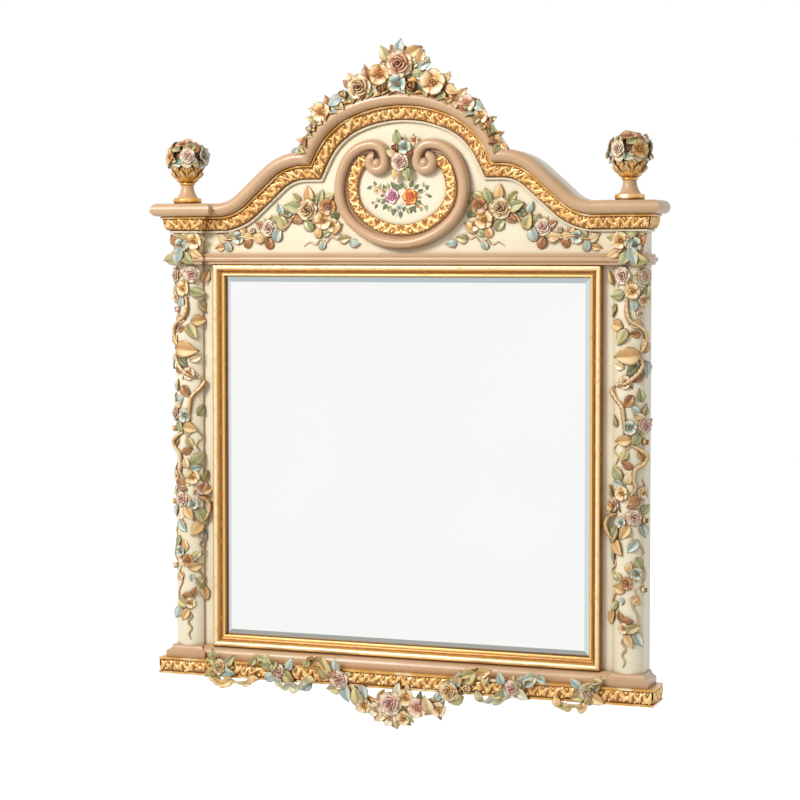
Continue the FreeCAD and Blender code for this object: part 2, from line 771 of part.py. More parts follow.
# Spray on the frieze: across from the middle, and up from the frieze's lower edge.
SPRAY = [
    ("rose", 234, 102, 21, 0), ("blossom", 194, 78, 19, 20), ("blossom", 183, 108, 17, 0),
    ("rose", 332, 60, 17, 10), ("blossom", 410, 38, 13, 0), ("leaf", 230, 138, 34, 92),
    ("leaf", 268, 108, 40, 172), ("leaf", 302, 104, 24, 100), ("leaf", 202, 132, 30, 80),
    ("leaf", 180, 131, 28, 45), ("leaf", 258, 80, 28, 215), ("leaf", 232, 66, 32, 115),
    ("leaf", 352, 66, 26, 160), ("leaf", 297, 73, 38, 118), ("leaf", 309, 46, 36, 62),
    ("leaf", 330, 26, 30, 88), ("leaf", 358, 38, 34, 175), ("leaf", 387, 40, 28, 170),
    ("leaf", 384, 24, 24, 30), ("leaf", 434, 18, 26, 105), ("leaf", 450, 36, 28, 160),
    ("leaf", 456, 14, 22, 190), ("leaf", 164, 60, 34, 30), ("leaf", 186, 48, 26, 20),
    ("leaf", 142, 34, 28, 12), ("leaf", 117, 25, 26, -8), ("leaf", 196, 21, 24, 75),
]
SPRAY_STEMS = [
    (268, 96, 205, [14, (20, 40), 10, (20, -50), 22]),
    (250, 14, 25, [10, (22, 40), 14, (22, -50), 28]),
    (284, 60, -20, [16, (24, -40), 20]),
]
# Cluster on each block above the capitals: across from the block's axis towards the glass, and up.
CAPITAL = [
    ("blossom", 20, 30, 17, 0), ("blossom", -12, 21, 15, 30), ("leaf", -30, 32, 30, 120),
    ("leaf", -6, 45, 30, 160), ("leaf", 2, 12, 30, -70), ("leaf", -22, 8, 26, 240),
    ("leaf", 24, 8, 24, -40), ("bud", 2, 36, 7, 0),
]
# Knot between the volutes: across, and up from the centre of the volutes.
KNOT = [
    ("rose", 0, 0, 18, 0), ("blossom", 11, 33, 14, 20), ("blossom", 34, 48, 9, 0), ("bud", -11, 32, 9, 0),
    ("bud", 24, 19, 7, 0), ("leaf", -6, 55, 30, 110), ("leaf", -20, 20, 26, 150),
    ("leaf", -12, -27, 26, -110), ("leaf", 18, -28, 28, -70),
]
# Crest: along the gold line from the crown, and out from it.
CREST = [
    ("rose", 2, 94, 28, 0), ("blossom", -36, 74, 21, 10), ("blossom", -2, 50, 19, 0),
    ("blossom", 70, 61, 26, 15), ("rose", -80, 56, 25, 0), ("blossom", -168, 48, 20, 10),
    ("blossom", 146, 44, 17, 0), ("blossom", 182, 40, 15, 30), ("bud", -37, 42, 11, 0),
    ("bud", 28, 46, 12, 0), ("bud", -116, 55, 11, 0), ("bud", -206, 42, 8, 0), ("bud", -264, 34, 8, 0),
    ("bud", 50, 108, 7, 0), ("leaf", 2, 131, 36, 90), ("leaf", -24, 120, 36, 128),
    ("leaf", 26, 122, 40, 40), ("leaf", 40, 110, 34, 62), ("leaf", 46, 94, 32, 20),
    ("leaf", 36, 76, 26, -10), ("leaf", 92, 78, 28, 70), ("leaf", 44, 66, 22, 160),
    ("leaf", -62, 86, 32, 118), ("leaf", -136, 50, 36, 200), ("leaf", -54, 36, 28, -100),
    ("leaf", -104, 36, 28, 240), ("leaf", -142, 32, 28, -40), ("leaf", -186, 28, 28, -70),
    ("leaf", -226, 32, 30, 225), ("leaf", -240, 18, 20, -80), ("leaf", -284, 24, 20, -80),
    ("leaf", 110, 56, 32, -25), ("leaf", 130, 58, 28, 58), ("leaf", 56, 30, 24, 200),
    ("leaf", 96, 36, 26, -70), ("leaf", 168, 54, 32, -25), ("leaf", 156, 20, 26, 250),
    ("leaf", 202, 44, 26, -60), ("leaf", 212, 24, 26, -90), ("leaf", 236, 34, 26, -60),
    ("leaf", 248, 18, 24, -85), ("leaf", 268, 32, 22, -45), ("leaf", 280, 18, 24, -90),
]
# Garland and ribbons: across from the middle, and up from the base bar's lower edge.
GARLAND = [
    ("rose", -12, -32, 24, 0), ("blossom", 24, -16, 17, 0), ("blossom", 53, -37, 20, 20),
    ("blossom", -49, -48, 14, 0), ("blossom", -77, -42, 15, 20), ("rose", -138, 13, 19, 0),
    ("rose", 127, 5, 19, 0), ("blossom", 104, -38, 15, 0), ("rose", -289, 22, 15, 0),
    ("rose", 277, 20, 17, 0), ("rose", -438, 24, 16, 0), ("rose", 447, 25, 15, 0), ("bud", -14, -66, 11, 0),
    ("bud", 17, -65, 11, 0), ("bud", 172, 14, 10, 0), ("leaf", 4, 0, 30, 80), ("leaf", -35, -16, 26, 60),
    ("leaf", -94, -22, 46, 100), ("leaf", -78, -14, 36, -70), ("leaf", -36, -64, 30, 215),
    ("leaf", 34, -60, 28, -40), ("leaf", 78, -30, 40, 100), ("leaf", 103, -8, 26, 30),
    ("leaf", 144, -14, 36, 205), ("leaf", 149, 33, 34, 84), ("leaf", -147, 44, 34, 88),
    ("leaf", -121, -17, 36, -75), ("leaf", -150, -8, 36, 200), ("leaf", -174, 40, 50, 125),
    ("leaf", 176, 42, 50, 40), ("leaf", -206, 52, 34, 190), ("leaf", 208, 50, 36, 10),
    ("leaf", -222, -8, 34, 215), ("leaf", -264, 8, 40, -40), ("leaf", -322, 44, 44, 150),
    ("leaf", -308, 10, 34, 30), ("leaf", -262, 40, 30, 60), ("leaf", 318, 42, 42, 30),
    ("leaf", 300, 8, 34, -30), ("leaf", 252, 6, 34, 215), ("leaf", 250, 42, 30, 120),
    ("leaf", -456, 46, 34, 110), ("leaf", -418, 12, 34, -20), ("leaf", -462, 10, 32, 200),
    ("leaf", -414, 40, 30, 40), ("leaf", 470, 44, 36, 60), ("leaf", 428, 12, 32, 200),
    ("leaf", 472, 10, 34, -20), ("leaf", 424, 42, 30, 130),
]
# Bouquet on each finial: turn round the axis from the front, tilt above level, radius and angle.
BOUQUET = [
    ("rose", -25, 5, 15, 0), ("rose", 155, 5, 15, 0), ("blossom", 45, 10, 14, 0),
    ("blossom", 225, 10, 14, 0), ("blossom", -90, 12, 14, 20), ("blossom", 110, 8, 13, 0),
    ("blossom", 10, 58, 13, 0), ("rose", 130, 62, 12, 0), ("blossom", 250, 58, 13, 0),
    ("leaf", 10, -22, 30, -90), ("leaf", 80, -18, 30, -70), ("leaf", -60, -20, 30, -100),
    ("leaf", 190, -20, 30, -90), ("leaf", 265, -18, 30, -80), ("leaf", 70, 42, 26, 60),
    ("leaf", -50, 44, 26, 120), ("leaf", 190, 40, 26, 90),
]


def pilaster_surface(across):
    """Distance from the wall and lean of the bowed front, across from the pilaster's axis."""
    half = pilaster_width / 2
    radius = (half ** 2 + pilaster_bow ** 2) / (2 * pilaster_bow)
    held = max(-half, min(half, across))
    return pilaster_out - radius + math.sqrt(radius ** 2 - held ** 2), math.degrees(math.asin(held / radius))


def vine(shaft, neighbours):
    """Carving on the left pilaster."""
    scale = shaft_height / vine_length
    root = carving_sink + pilaster_bow / 4
    pieces = []
    for kind, across, down, size, angle in VINE:
        out, lean = pilaster_surface(across)
        place = V(-block_x + across, -out + carving_sink / 2, z_architrave - down * scale)
        pieces.append(carved(kind, size, angle, place, lean, root))
    skin = shaft.copy()
    skin.translate(BACK * -stem_lift)
    for across, down, angle, legs in VINE_STEMS:
        path_start = V(-block_x + across, 0, z_architrave - down * scale)
        band = stem(path_start, angle, legs, carcass_out, pilaster_out + stem_lift)
        pieces.append(band.common(skin))
    return settled(pieces, [shaft] + neighbours)


def spray(obstacles):
    """Carving on the right half of the frieze."""
    pieces = []
    for kind, across, up, size, angle in SPRAY:
        pieces.append(carved(kind, size, 180 - angle, V(across, -carcass_out, z_frieze + up)))
    for across, up, angle, legs in SPRAY_STEMS:
        start = V(across, 0, z_frieze + up)
        pieces.append(stem(start, angle, legs, carcass_out, carcass_out + stem_lift, stem_width * 0.6))
    return settled(pieces, obstacles)


def capital(obstacles):
    """Carving on the left block of the frieze."""
    pieces = []
    for kind, across, up, size, angle in CAPITAL:
        place = V(-block_x + across, -block_out, z_frieze + up)
        pieces.append(carved(kind, size, angle, place))
    return settled(pieces, obstacles)


def knot(obstacles):
    """Carving between the volutes, rooted on the plaque and the frieze behind it."""
    edges, loop_start = trace(ring_start, 180, ring_legs + volute_legs[:2], 0)
    out = plaque_out + ring_proud * 0.7
    pieces = []
    for kind, across, up, size, angle in KNOT:
        place = V(across, -out, loop_start.z + up)
        pieces.append(carved(kind, size, angle, place, 0, out - carcass_out))
    return settled(pieces, obstacles)


def on_arch(along, lift):
    """Point at a length along the gold line from the crown and a distance out from it, and the
    angle of the line there."""
    crown_arc = crown_radius * math.radians(crown_angle)
    shoulder_arc = shoulder_radius * math.radians(shoulder_angle)
    side = math.copysign(1, along)
    reach = abs(along)
    if reach < crown_arc:
        turn = math.degrees(reach / crown_radius)
        point = V(0, 0, z_crown - crown_radius) + heading_vector(90 - turn) * (crown_radius + lift)
    elif reach < crown_arc + shoulder_arc:
        turn = crown_angle + math.degrees((reach - crown_arc) / shoulder_radius)
        point = V(shoulder_x, 0, shoulder_z) + heading_vector(90 - turn) * (shoulder_radius + lift)
    else:
        turn = shoulder_turn
        skirt = reach - crown_arc - shoulder_arc
        point = shoulder_end + heading_vector(90 - turn) * lift + heading_vector(-turn) * skirt
    return V(side * point.x, 0, point.z)


def crest_bed():
    """Crescent that stands on the crown and carries the tall flowers."""
    left = on_arch(-crest_bed_reach, torus_top)
    right = on_arch(crest_bed_reach, torus_top)
    top = crown_top + UP * (torus_top + crest_bed_height)
    low = crown_top + UP * (torus_top - 2 * board_step)
    outline = Part.Wire([Part.Arc(left, top, right).toShape(), Part.Arc(right, low, left).toShape()])
    bed = Part.Face(outline).extrude(BACK * -crest_bed_thickness)
    bed.translate(BACK * -(crest_bed_out - crest_bed_thickness))
    return bed


def crest_branch():
    """Crescent and thin branch that run down both sides of the arch and carry the flowers."""
    low = torus_top
    high = torus_top + crest_trail_height
    back = crest_bed_out - crest_bed_thickness
    profile = [(low, back), (low, crest_bed_out), (high, crest_bed_out), (high, back)]
    half = run(profile, crown_top, 0, [(crown_radius, crown_angle), (shoulder_radius, crest_trail_angle)])
    return joined([crest_bed(), half, mirrored(half)])


def crest(carriers):
    pieces = []
    for kind, along, lift, size, angle in CREST:
        place = on_arch(along, lift) - BACK * crest_bed_out
        root = 0 if lift > torus_top + size else crest_bed_thickness
        pieces.append(carved(kind, size, angle, place, 0, root))
    return settled(pieces, carriers)


def garland_swag(bar):
    """Branch that hangs in an arc under the middle of the base bar."""
    radius = (garland_span ** 2 / 4 + garland_sag ** 2) / (2 * garland_sag)
    turn = math.degrees(math.asin(garland_span / 2 / radius))
    start = V(-garland_span / 2, 0, 0)
    back = base_out - garland_thickness
    return stem(start, -turn, [(radius, -2 * turn)], back, base_out, garland_width).cut(bar)


def garland(carriers):
    """Flowers and ribbons on the base bar and the swag."""
    pieces = []
    for kind, across, up, size, angle in GARLAND:
        pieces.append(carved(kind, size, angle, V(across, -base_out, up), 0, base_sink))
    return settled(pieces, carriers)


# Finials, built on the right-hand axis

finial_out = block_out - finial_setback
finial_place = V(block_x, -finial_out, z_cornice)
cup_base = finial_neck_height + finial_collar_height
cup_top = cup_base + finial_cup_height


def turned(profile):
    solid = face_from(profile, lambda r, z: V(r, 0, z)).revolve(ORIGIN, UP, 360)
    solid.translate(finial_place)
    return solid


def finial_dowel():
    return dowel(finial_place, UP, finial_dowel_radius, finial_dowel_length)


def finial_stem():
    """Turned foot, bell-shaped neck and collar."""
    rim = finial_foot_radius - finial_foot_height / 5
    bell = finial_neck_radius * 1.2
    bell_height = finial_foot_height + (finial_neck_height - finial_foot_height) * 0.42
    collar = finial_collar_radius - 1
    profile = [(0, 0), (rim, 0), ((finial_foot_radius, finial_foot_height / 2), (rim, finial_foot_height)),
               (rim - 5, finial_foot_height), ((bell, bell_height), (finial_neck_radius, finial_neck_height)),
               (collar, finial_neck_height),
               ((finial_collar_radius, finial_neck_height + finial_collar_height / 2), (collar, cup_base)),
               (0, cup_base)]
    return turned(profile).cut(finial_dowel())


def finial_cup():
    """Flared cup with a ring of leaves."""
    waist = finial_collar_radius - 3
    swell = (waist + (finial_cup_radius - waist) * 0.62, cup_base + finial_cup_height * 0.42)
    cup = turned([(0, cup_base), (waist, cup_base), (swell, (finial_cup_radius - 4, cup_top)), (0, cup_top)])
    pieces = [cup]
    flare = math.degrees(math.atan2(finial_cup_radius - waist, finial_cup_height)) * 0.9
    for i in range(finial_leaf_count):
        blade = leaf(finial_cup_height * 1.05, 4)
        blade.rotate(ORIGIN, V(0, 1, 0), -90)
        blade.rotate(ORIGIN, UP, 180)
        blade.rotate(ORIGIN, V(0, 1, 0), flare)
        middle = (waist + finial_cup_radius) / 2 - 1
        blade.translate(V(middle, 0, (cup_base + cup_top) / 2))
        blade.rotate(ORIGIN, UP, (i + 0.5) * 360.0 / finial_leaf_count)
        blade.translate(finial_place)
        pieces.append(blade)
    return joined(pieces)


def bouquet(cup):
    """Flowers round a ball that sits in the cup."""
    centre = finial_place + UP * (cup_top + finial_ball_radius - finial_ball_sink)
    ball = Part.makeSphere(finial_ball_radius, centre)
    pieces = [ball]
    for kind, turn, tilt, size, angle in BOUQUET:
        piece = CARVERS[kind](size, finial_ball_radius / 3)
        piece.rotate(ORIGIN, UP, angle)
        piece.rotate(ORIGIN, RIGHT, 90)
        piece.translate(BACK * -finial_ball_radius)
        piece.rotate(ORIGIN, RIGHT, -tilt)
        piece.rotate(ORIGIN, UP, turn)
        piece.translate(centre)
        pieces.append(piece)
    return settled(pieces, [cup])


# Assembly

def both_sides(parts, name, right):
    """Adds the right-hand piece and its mirror image."""
    parts[name + "_right"] = right
    parts[name + "_left"] = mirrored(right)


def build():
    parts = {}
    dowels = frame_dowels()
    panel_fixings = panel_screws()
    plate_fixings = plate_screws()
    fixings = panel_fixings + plate_fixings
    pocket = panel_pocket()
    pegs = group(dowels)
    screws = group(fixings)

    both_sides(parts, "keyhole_plate", keyhole_plate().cut(screws))
    recess = block(x_hanger - plate_width / 2, x_hanger + plate_width / 2, 0, plate_thickness,
                   z_hanger - plate_height / 2, z_hanger + plate_height / 2)
    both_sides(parts, "stile", stile().cut(pocket).cut(recess).cut(head_pocket()).cut(pegs).cut(screws))
    parts["bottom_rail"] = cross_rail(base_height, opening_low).cut(pocket).cut(pegs).cut(screws)
    parts["top_rail"] = cross_rail(opening_high, z_frieze).cut(pocket).cut(pegs).cut(screws)
    parts["base_bar"] = base_bar().cut(pegs)
    parts["pediment_board"] = pediment_board().cut(pegs)
    parts["dowels"] = group(dowels + [finial_dowel(), mirrored(finial_dowel())])
    half_packing = half_opening - panel_play
    parts["packing_board"] = block(-half_packing, half_packing, panel_front, glass_back,
                                   opening_low + panel_play, opening_high - panel_play)
    parts["back_panel"] = block(-half_panel, half_panel, panel_back, panel_front,
                                opening_low - panel_lap, opening_high + panel_lap).cut(screws)
    parts["panel_screws"] = group(panel_fixings)
    parts["plate_screws"] = group(plate_fixings)
    parts["mirror_glass"] = mirror_glass()
    parts.update(sight_rails())

    shaft = pilaster()
    both_sides(parts, "pilaster", shaft)
    plinth = plinth_end()
    both_sides(parts, "plinth", plinth)
    parts["plinth_middle"] = plinth_middle([plinth, parts["plinth_left"]])
    capping = architrave_end()
    both_sides(parts, "architrave", capping)
    parts["architrave_middle"] = architrave_middle_length([capping, parts["architrave_left"]])
    both_sides(parts, "frieze_block", block_core(z_frieze, z_cornice).cut(finial_dowel()))

    for name, profile in (("cornice_torus", torus_profile), ("cornice_leaf", leaf_profile)):
        end = wrap(profile(0), z_gold)
        both_sides(parts, name + "_end", end)
        both_sides(parts, name + "_ogee", ogee_moulding(profile(carcass_out), end))
        parts[name + "_arch"] = arch_moulding(profile(carcass_out))
    bead_end = wrap(bead_profile(0), z_gold)
    bead_ogee = ogee_moulding(bead_profile(carcass_out), bead_end)
    bead_arch = arch_moulding(bead_profile(carcass_out))
    beads = [bead_arch, bead_ogee, mirrored(bead_ogee), bead_end, mirrored(bead_end)]
    parts["cornice_beads"] = group(beads)

    scroll = cartouche_scroll()
    scrolls = [scroll, mirrored(scroll)]
    parts["cartouche_scroll_left"], parts["cartouche_scroll_right"] = scrolls
    parts["cartouche_leaf_band"] = cartouche_leaf_band(scrolls)
    parts["cartouche_plaque"] = cartouche_plaque()

    both_sides(parts, "finial_stem", finial_stem())
    cup = finial_cup()
    both_sides(parts, "finial_cup", cup)
    both_sides(parts, "finial_bouquet", group(bouquet(cup)))

    shaft_neighbours = [mirrored(stile()), parts["plinth_left"], parts["architrave_left"]]
    left_vine = group(vine(parts["pilaster_left"], shaft_neighbours))
    parts["vine_left"] = left_vine
    parts["vine_right"] = mirrored(left_vine)
    frieze_neighbours = scrolls + [parts["cartouche_plaque"], bead_ogee, parts["cornice_leaf_ogee_right"],
                                   capping, parts["architrave_middle"], parts["frieze_block_right"]]
    both_sides(parts, "spray", group(spray(frieze_neighbours)))
    capital_neighbours = [mirrored(bead_end), parts["architrave_left"], parts["cornice_leaf_end_left"]]
    left_capital = group(capital(capital_neighbours))
    parts["capital_left"] = left_capital
    parts["capital_right"] = mirrored(left_capital)
    parts["knot"] = group(knot(scrolls + [parts["cartouche_plaque"], parts["cartouche_leaf_band"]]))
    crest_carriers = [parts["pediment_board"]]
    for name in ("cornice_torus", "cornice_leaf"):
        crest_carriers += [parts[name + "_arch"], parts[name + "_ogee_left"], parts[name + "_ogee_right"]]
    branch = crest_branch()
    for carrier in crest_carriers:
        branch = branch.cut(carrier)
    parts["crest_branch"] = branch
    parts["crest"] = group(crest([branch] + crest_carriers))
    swag = garland_swag(parts["base_bar"])
    parts["garland_swag"] = swag
    base_carriers = [swag, parts["base_bar"], plinth, parts["plinth_left"], parts["plinth_middle"]]
    parts["garland"] = group(garland(base_carriers))
    return parts


def main():
    os.makedirs("parts", exist_ok=True)
    for name, shape in build().items():
        shape.exportStep("parts/%s.step" % name)


main()
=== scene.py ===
import json
import random
from math import asin, atan, atan2, copysign, cos, degrees, exp, hypot, pi, radians, sin, sqrt, tan

import bpy
from mathutils import Matrix, Vector
from mathutils.noise import noise_vector, seed_set


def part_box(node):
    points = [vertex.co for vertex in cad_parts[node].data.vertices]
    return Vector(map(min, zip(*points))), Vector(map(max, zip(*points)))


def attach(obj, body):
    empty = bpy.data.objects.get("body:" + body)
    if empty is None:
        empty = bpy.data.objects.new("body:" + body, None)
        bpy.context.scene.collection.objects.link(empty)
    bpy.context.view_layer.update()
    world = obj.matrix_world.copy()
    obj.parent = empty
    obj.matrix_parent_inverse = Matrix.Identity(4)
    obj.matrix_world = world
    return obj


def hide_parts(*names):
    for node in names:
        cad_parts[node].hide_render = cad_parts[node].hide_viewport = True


# Looks of a carved and painted wall mirror. Shapes are worked out in millimetres in the frame of the
# CAD model (+Z up, the front faces -Y, the wall is Y = 0) and scaled to metres when a piece is made.

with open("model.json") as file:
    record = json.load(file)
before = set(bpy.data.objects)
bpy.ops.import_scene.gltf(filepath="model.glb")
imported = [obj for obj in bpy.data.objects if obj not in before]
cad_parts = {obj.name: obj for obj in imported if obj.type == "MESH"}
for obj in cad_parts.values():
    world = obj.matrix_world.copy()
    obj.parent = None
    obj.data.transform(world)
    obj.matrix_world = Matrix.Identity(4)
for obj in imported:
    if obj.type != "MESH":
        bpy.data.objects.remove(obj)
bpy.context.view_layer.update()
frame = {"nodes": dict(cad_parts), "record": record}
rng = random.Random(11)
seed_set(11)
MM = 0.001
FRONT = Vector((0, -1, 0))


def low(node):
    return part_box(node)[0] / MM


def high(node):
    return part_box(node)[1] / MM


# Places taken from the frame
carcass_out = -low("stile_left").y
block_out = -low("frieze_block_left").y
block_in = low("frieze_block_right").x
half_carcass = high("frieze_block_right").x
block_x = (block_in + half_carcass) / 2
pilaster_width = half_carcass - block_in
pilaster_out = -low("pilaster_left").y
z_architrave = high("pilaster_left").z
z_frieze = low("frieze_block_left").z
z_cornice = high("frieze_block_left").z
base_out = -low("base_bar").y
base_height = high("base_bar").z
half_base = high("base_bar").x
plaque_out = -low("cartouche_plaque").y
sight_rail_width = high("sight_rail_top").z - low("sight_rail_top").z
half_sight = high("sight_rail_top").x - sight_rail_width
half_sight_height = (high("sight_rail_top").z - low("sight_rail_bottom").z) / 2 - sight_rail_width
sight_middle = (high("sight_rail_top").z + low("sight_rail_bottom").z) / 2

# Sizes that the frame does not give, as in the CAD model
torus_width = 30.0
torus_proud = 42.0
gold_radius = 3.0
leaf_width = 26.0
leaf_proud = 17.0
leaf_toe = 12.0
z_gold = z_cornice - (gold_radius + torus_width)
crown_radius = 300.0
crown_angle = 23.4
crown_rise = 250.0
shoulder_radius = 172.0
shoulder_angle = 40.6
ogee_rise = 117.0
ogee_shelf = 20.0
ogee_slope = 90.0
end_run = 46.0
pilaster_bow = 17.0
base_lip = 5.0
base_sink = 3.0
crest_out = 75.0
finial_foot = 13.0
finial_neck = 44.0


def linear(r, g, b):
    """Colour written as it looks on screen, 0 to 255, for the shaders."""
    shares = (r / 255, g / 255, b / 255)
    return tuple(c / 12.92 if c <= 0.04045 else ((c + 0.055) / 1.055) ** 2.4 for c in shares)


WHITE = (1.0, 1.0, 1.0)
CREAM = linear(243, 233, 203)
CREAM_AGED = linear(224, 203, 160)
TAN = linear(207, 169, 129)
TAN_AGED = linear(182, 136, 96)
GOLD = linear(224, 170, 86)
GOLD_PALE = linear(255, 238, 196)
GOLD_IN_SHADE = linear(112, 62, 20)
UMBER = linear(98, 57, 22)
GILT_EDGE = linear(150, 92, 36)
VARNISH = (1.0, 0.96, 0.86)


# Materials

class Nodes:
    """Nodes of a material or of the world. An input takes a socket, a number or a colour."""

    def __init__(self, owner):
        owner.use_nodes = True
        self.owner = owner
        self.tree = owner.node_tree

    def feed(self, socket, value):
        if isinstance(value, bpy.types.NodeSocket):
            self.tree.links.new(value, socket)
        else:
            socket.default_value = (*value, 1.0) if socket.type == "RGBA" else value

    def give(self, node, **inputs):
        """Feeds a node's inputs by name, in lower case with underscores."""
        for name, value in inputs.items():
            self.feed(node.inputs[name.replace("_", " ").title()], value)
        return node

    def new(self, kind, **inputs):
        return self.give(self.tree.nodes.new("ShaderNode" + kind), **inputs)

    def place(self):
        return self.new("TexCoord").outputs["Object"]

    def axes(self, vector):
        return self.new("SeparateXYZ", vector=vector).outputs

    def noise(self, place, scale, detail=4.0, roughness=0.55):
        node = self.new("TexNoise", vector=place, scale=scale, detail=detail, roughness=roughness)
        return node.outputs["Fac"]

    def ramp(self, value, *stops):
        """Colour ramp; a stop is a place and a colour or a grey."""
        node = self.new("ValToRGB", fac=value)
        elements = node.color_ramp.elements
        while len(elements) < len(stops):
            elements.new(0.5)
        for element, (place, colour) in zip(elements, stops):
            element.position = place
            shade = colour if isinstance(colour, tuple) else (colour,) * 3
            element.color = (*shade, 1.0)
        return node.outputs["Color"]

    def mix(self, factor, first, second, blend="MIX"):
        node = self.new("Mix")
        node.data_type = "RGBA"
        node.blend_type = blend
        for socket, value in ((node.inputs[0], factor), (node.inputs[6], first), (node.inputs[7], second)):
            self.feed(socket, value)
        return node.outputs[2]

    def compute(self, operation, *values, clamp=True):
        node = self.new("Math")
        node.operation = operation
        node.use_clamp = clamp
        for socket, value in zip(node.inputs, values):
            self.feed(socket, value)
        return node.outputs[0]

    def crevices(self, distance, open_at=0.9, shut_at=0.25):
        """1 in hollows narrower than the distance in millimetres, 0 on open surfaces."""
        node = self.new("AmbientOcclusion", distance=distance * MM)
        node.samples = 6
        return self.ramp(node.outputs["AO"], (shut_at, 1.0), (open_at, 0.0))

    def bump(self, height, depth, strength):
        """Normals of a bump of a depth in millimetres."""
        return self.new("Bump", height=height, distance=depth * MM, strength=strength).outputs["Normal"]

    def finish(self, **inputs):
        """Feeds the Principled shader and gives back the material."""
        self.give(self.tree.nodes["Principled BSDF"], **inputs)
        return self.owner


def new_material(name):
    return Nodes(bpy.data.materials.new(name))


def paint(name, fresh, aged, shade_colour, corner_shade_share, roughness, crackle):
    """Brushed paint with a random aged tone, and painted shade in its corners and hollows."""
    look = new_material(name)
    place = look.place()
    cloud = look.noise(place, 9.0, 5.0)
    colour = look.mix(look.ramp(cloud, (0.42, 0.0), (0.75, 0.4)), fresh, aged)
    speck = look.noise(place, 160.0, 3.0)
    colour = look.mix(look.ramp(speck, (0.62, 0.0), (0.78, 0.25)), colour, aged)
    # Painted shade: wide corners darken towards the aged colour mixed with the shade colour, and narrow
    # hollows towards the shade colour itself
    corner_shade = look.compute("MULTIPLY", look.crevices(30.0, 0.92, 0.3), corner_shade_share)
    colour = look.mix(corner_shade, colour, look.mix(0.4, aged, shade_colour))
    close_shade = look.compute("MULTIPLY", look.crevices(10.0), 0.75)
    colour = look.mix(close_shade, colour, shade_colour)
    cells = look.new("TexVoronoi", vector=place, scale=crackle)
    cells.feature = "DISTANCE_TO_EDGE"
    hairline = look.ramp(cells.outputs["Distance"], (0.0, 0.0), (0.02, 1.0))
    brushed = look.mix(0.35, hairline, look.noise(place, 240.0, 2.0))
    rough = look.ramp(cloud, (0.3, roughness - 0.06), (0.7, roughness + 0.1))
    return look.finish(base_color=colour, roughness=rough, normal=look.bump(brushed, 0.25, 0.35),
                       coat_weight=0.3, coat_roughness=0.22)


def gilt_colour(look, place, reach, open_at=0.86, shut_at=0.25):
    """Gold leaf of random tone with rubbed wear, and painted shade that darkens it to umber gold in the
    hollows.
    """
    cloud = look.noise(place, 26.0, 5.0)
    leafed = look.ramp(cloud, (0.3, linear(205, 146, 62)), (0.5, GOLD), (0.72, GOLD_PALE))
    # Painted shade in the hollows
    hollow_shade = look.crevices(reach, open_at, shut_at)
    worn = look.ramp(look.noise(place, 120.0), (0.64, 0.0), (0.74, 0.5))
    rubbed = look.mix(worn, leafed, linear(176, 104, 52))
    return look.mix(hollow_shade, rubbed, GOLD_IN_SHADE), hollow_shade, cloud


def gilding(name, reach, open_at, shut_at):
    look = new_material(name)
    place = look.place()
    colour, hollow_shade, cloud = gilt_colour(look, place, reach, open_at, shut_at)
    return look.finish(base_color=colour, metallic=0.55,
                       roughness=look.ramp(cloud, (0.3, 0.24), (0.75, 0.42)),
                       normal=look.bump(look.noise(place, 95.0, 3.0), 0.5, 0.3))


def polychrome(name, hollows, gilded, reach=6.0):
    """Colour painted on each carving, with gilding (the colour's alpha) and umber painted shade in its
    hollows.
    """
    look = new_material(name)
    tint = look.new("VertexColor")
    tint.layer_name = "tint"
    alpha = tint.outputs["Alpha"]
    brushed = look.noise(look.place(), 130.0)
    pale = look.ramp(brushed, (0.42, 0.0), (0.72, 0.16))
    colour = look.mix(pale, tint.outputs["Color"], linear(252, 243, 220))
    gold = look.mix(brushed, GOLD, linear(196, 134, 56))
    colour = look.mix(look.compute("MULTIPLY", alpha, 1 - gilded), colour, gold)
    # Painted shade: umber in hollows narrower than the reach
    if hollows:
        shaded_hollows = look.compute("MULTIPLY", look.crevices(reach, 0.84), hollows)
        colour = look.mix(shaded_hollows, colour, UMBER)
    return look.finish(base_color=look.mix(1.0, colour, VARNISH, "MULTIPLY"),
                       metallic=look.compute("MULTIPLY", alpha, 0.55),
                       roughness=look.ramp(brushed, (0.3, 0.28), (0.7, 0.46)),
                       normal=look.bump(brushed, 0.4, 0.3), coat_weight=0.2)


# Tones across a rail, from the sight edge outwards, as shares of its width: painted shade in the groove and
# a painted highlight on the ridge, over the gilding's own darker and rubbed tones
RAIL_SHADE_AND_HIGHLIGHT = [(0.0, (160, 104, 44)), (0.04, (222, 174, 96)), (0.18, (246, 214, 146)), (0.28, (212, 160, 84)),
              (0.35, (128, 76, 28)), (0.44, (150, 92, 38)), (0.52, (232, 186, 108)), (0.7, (255, 238, 196)),
              (0.88, (240, 198, 124)), (0.97, (156, 98, 38))]


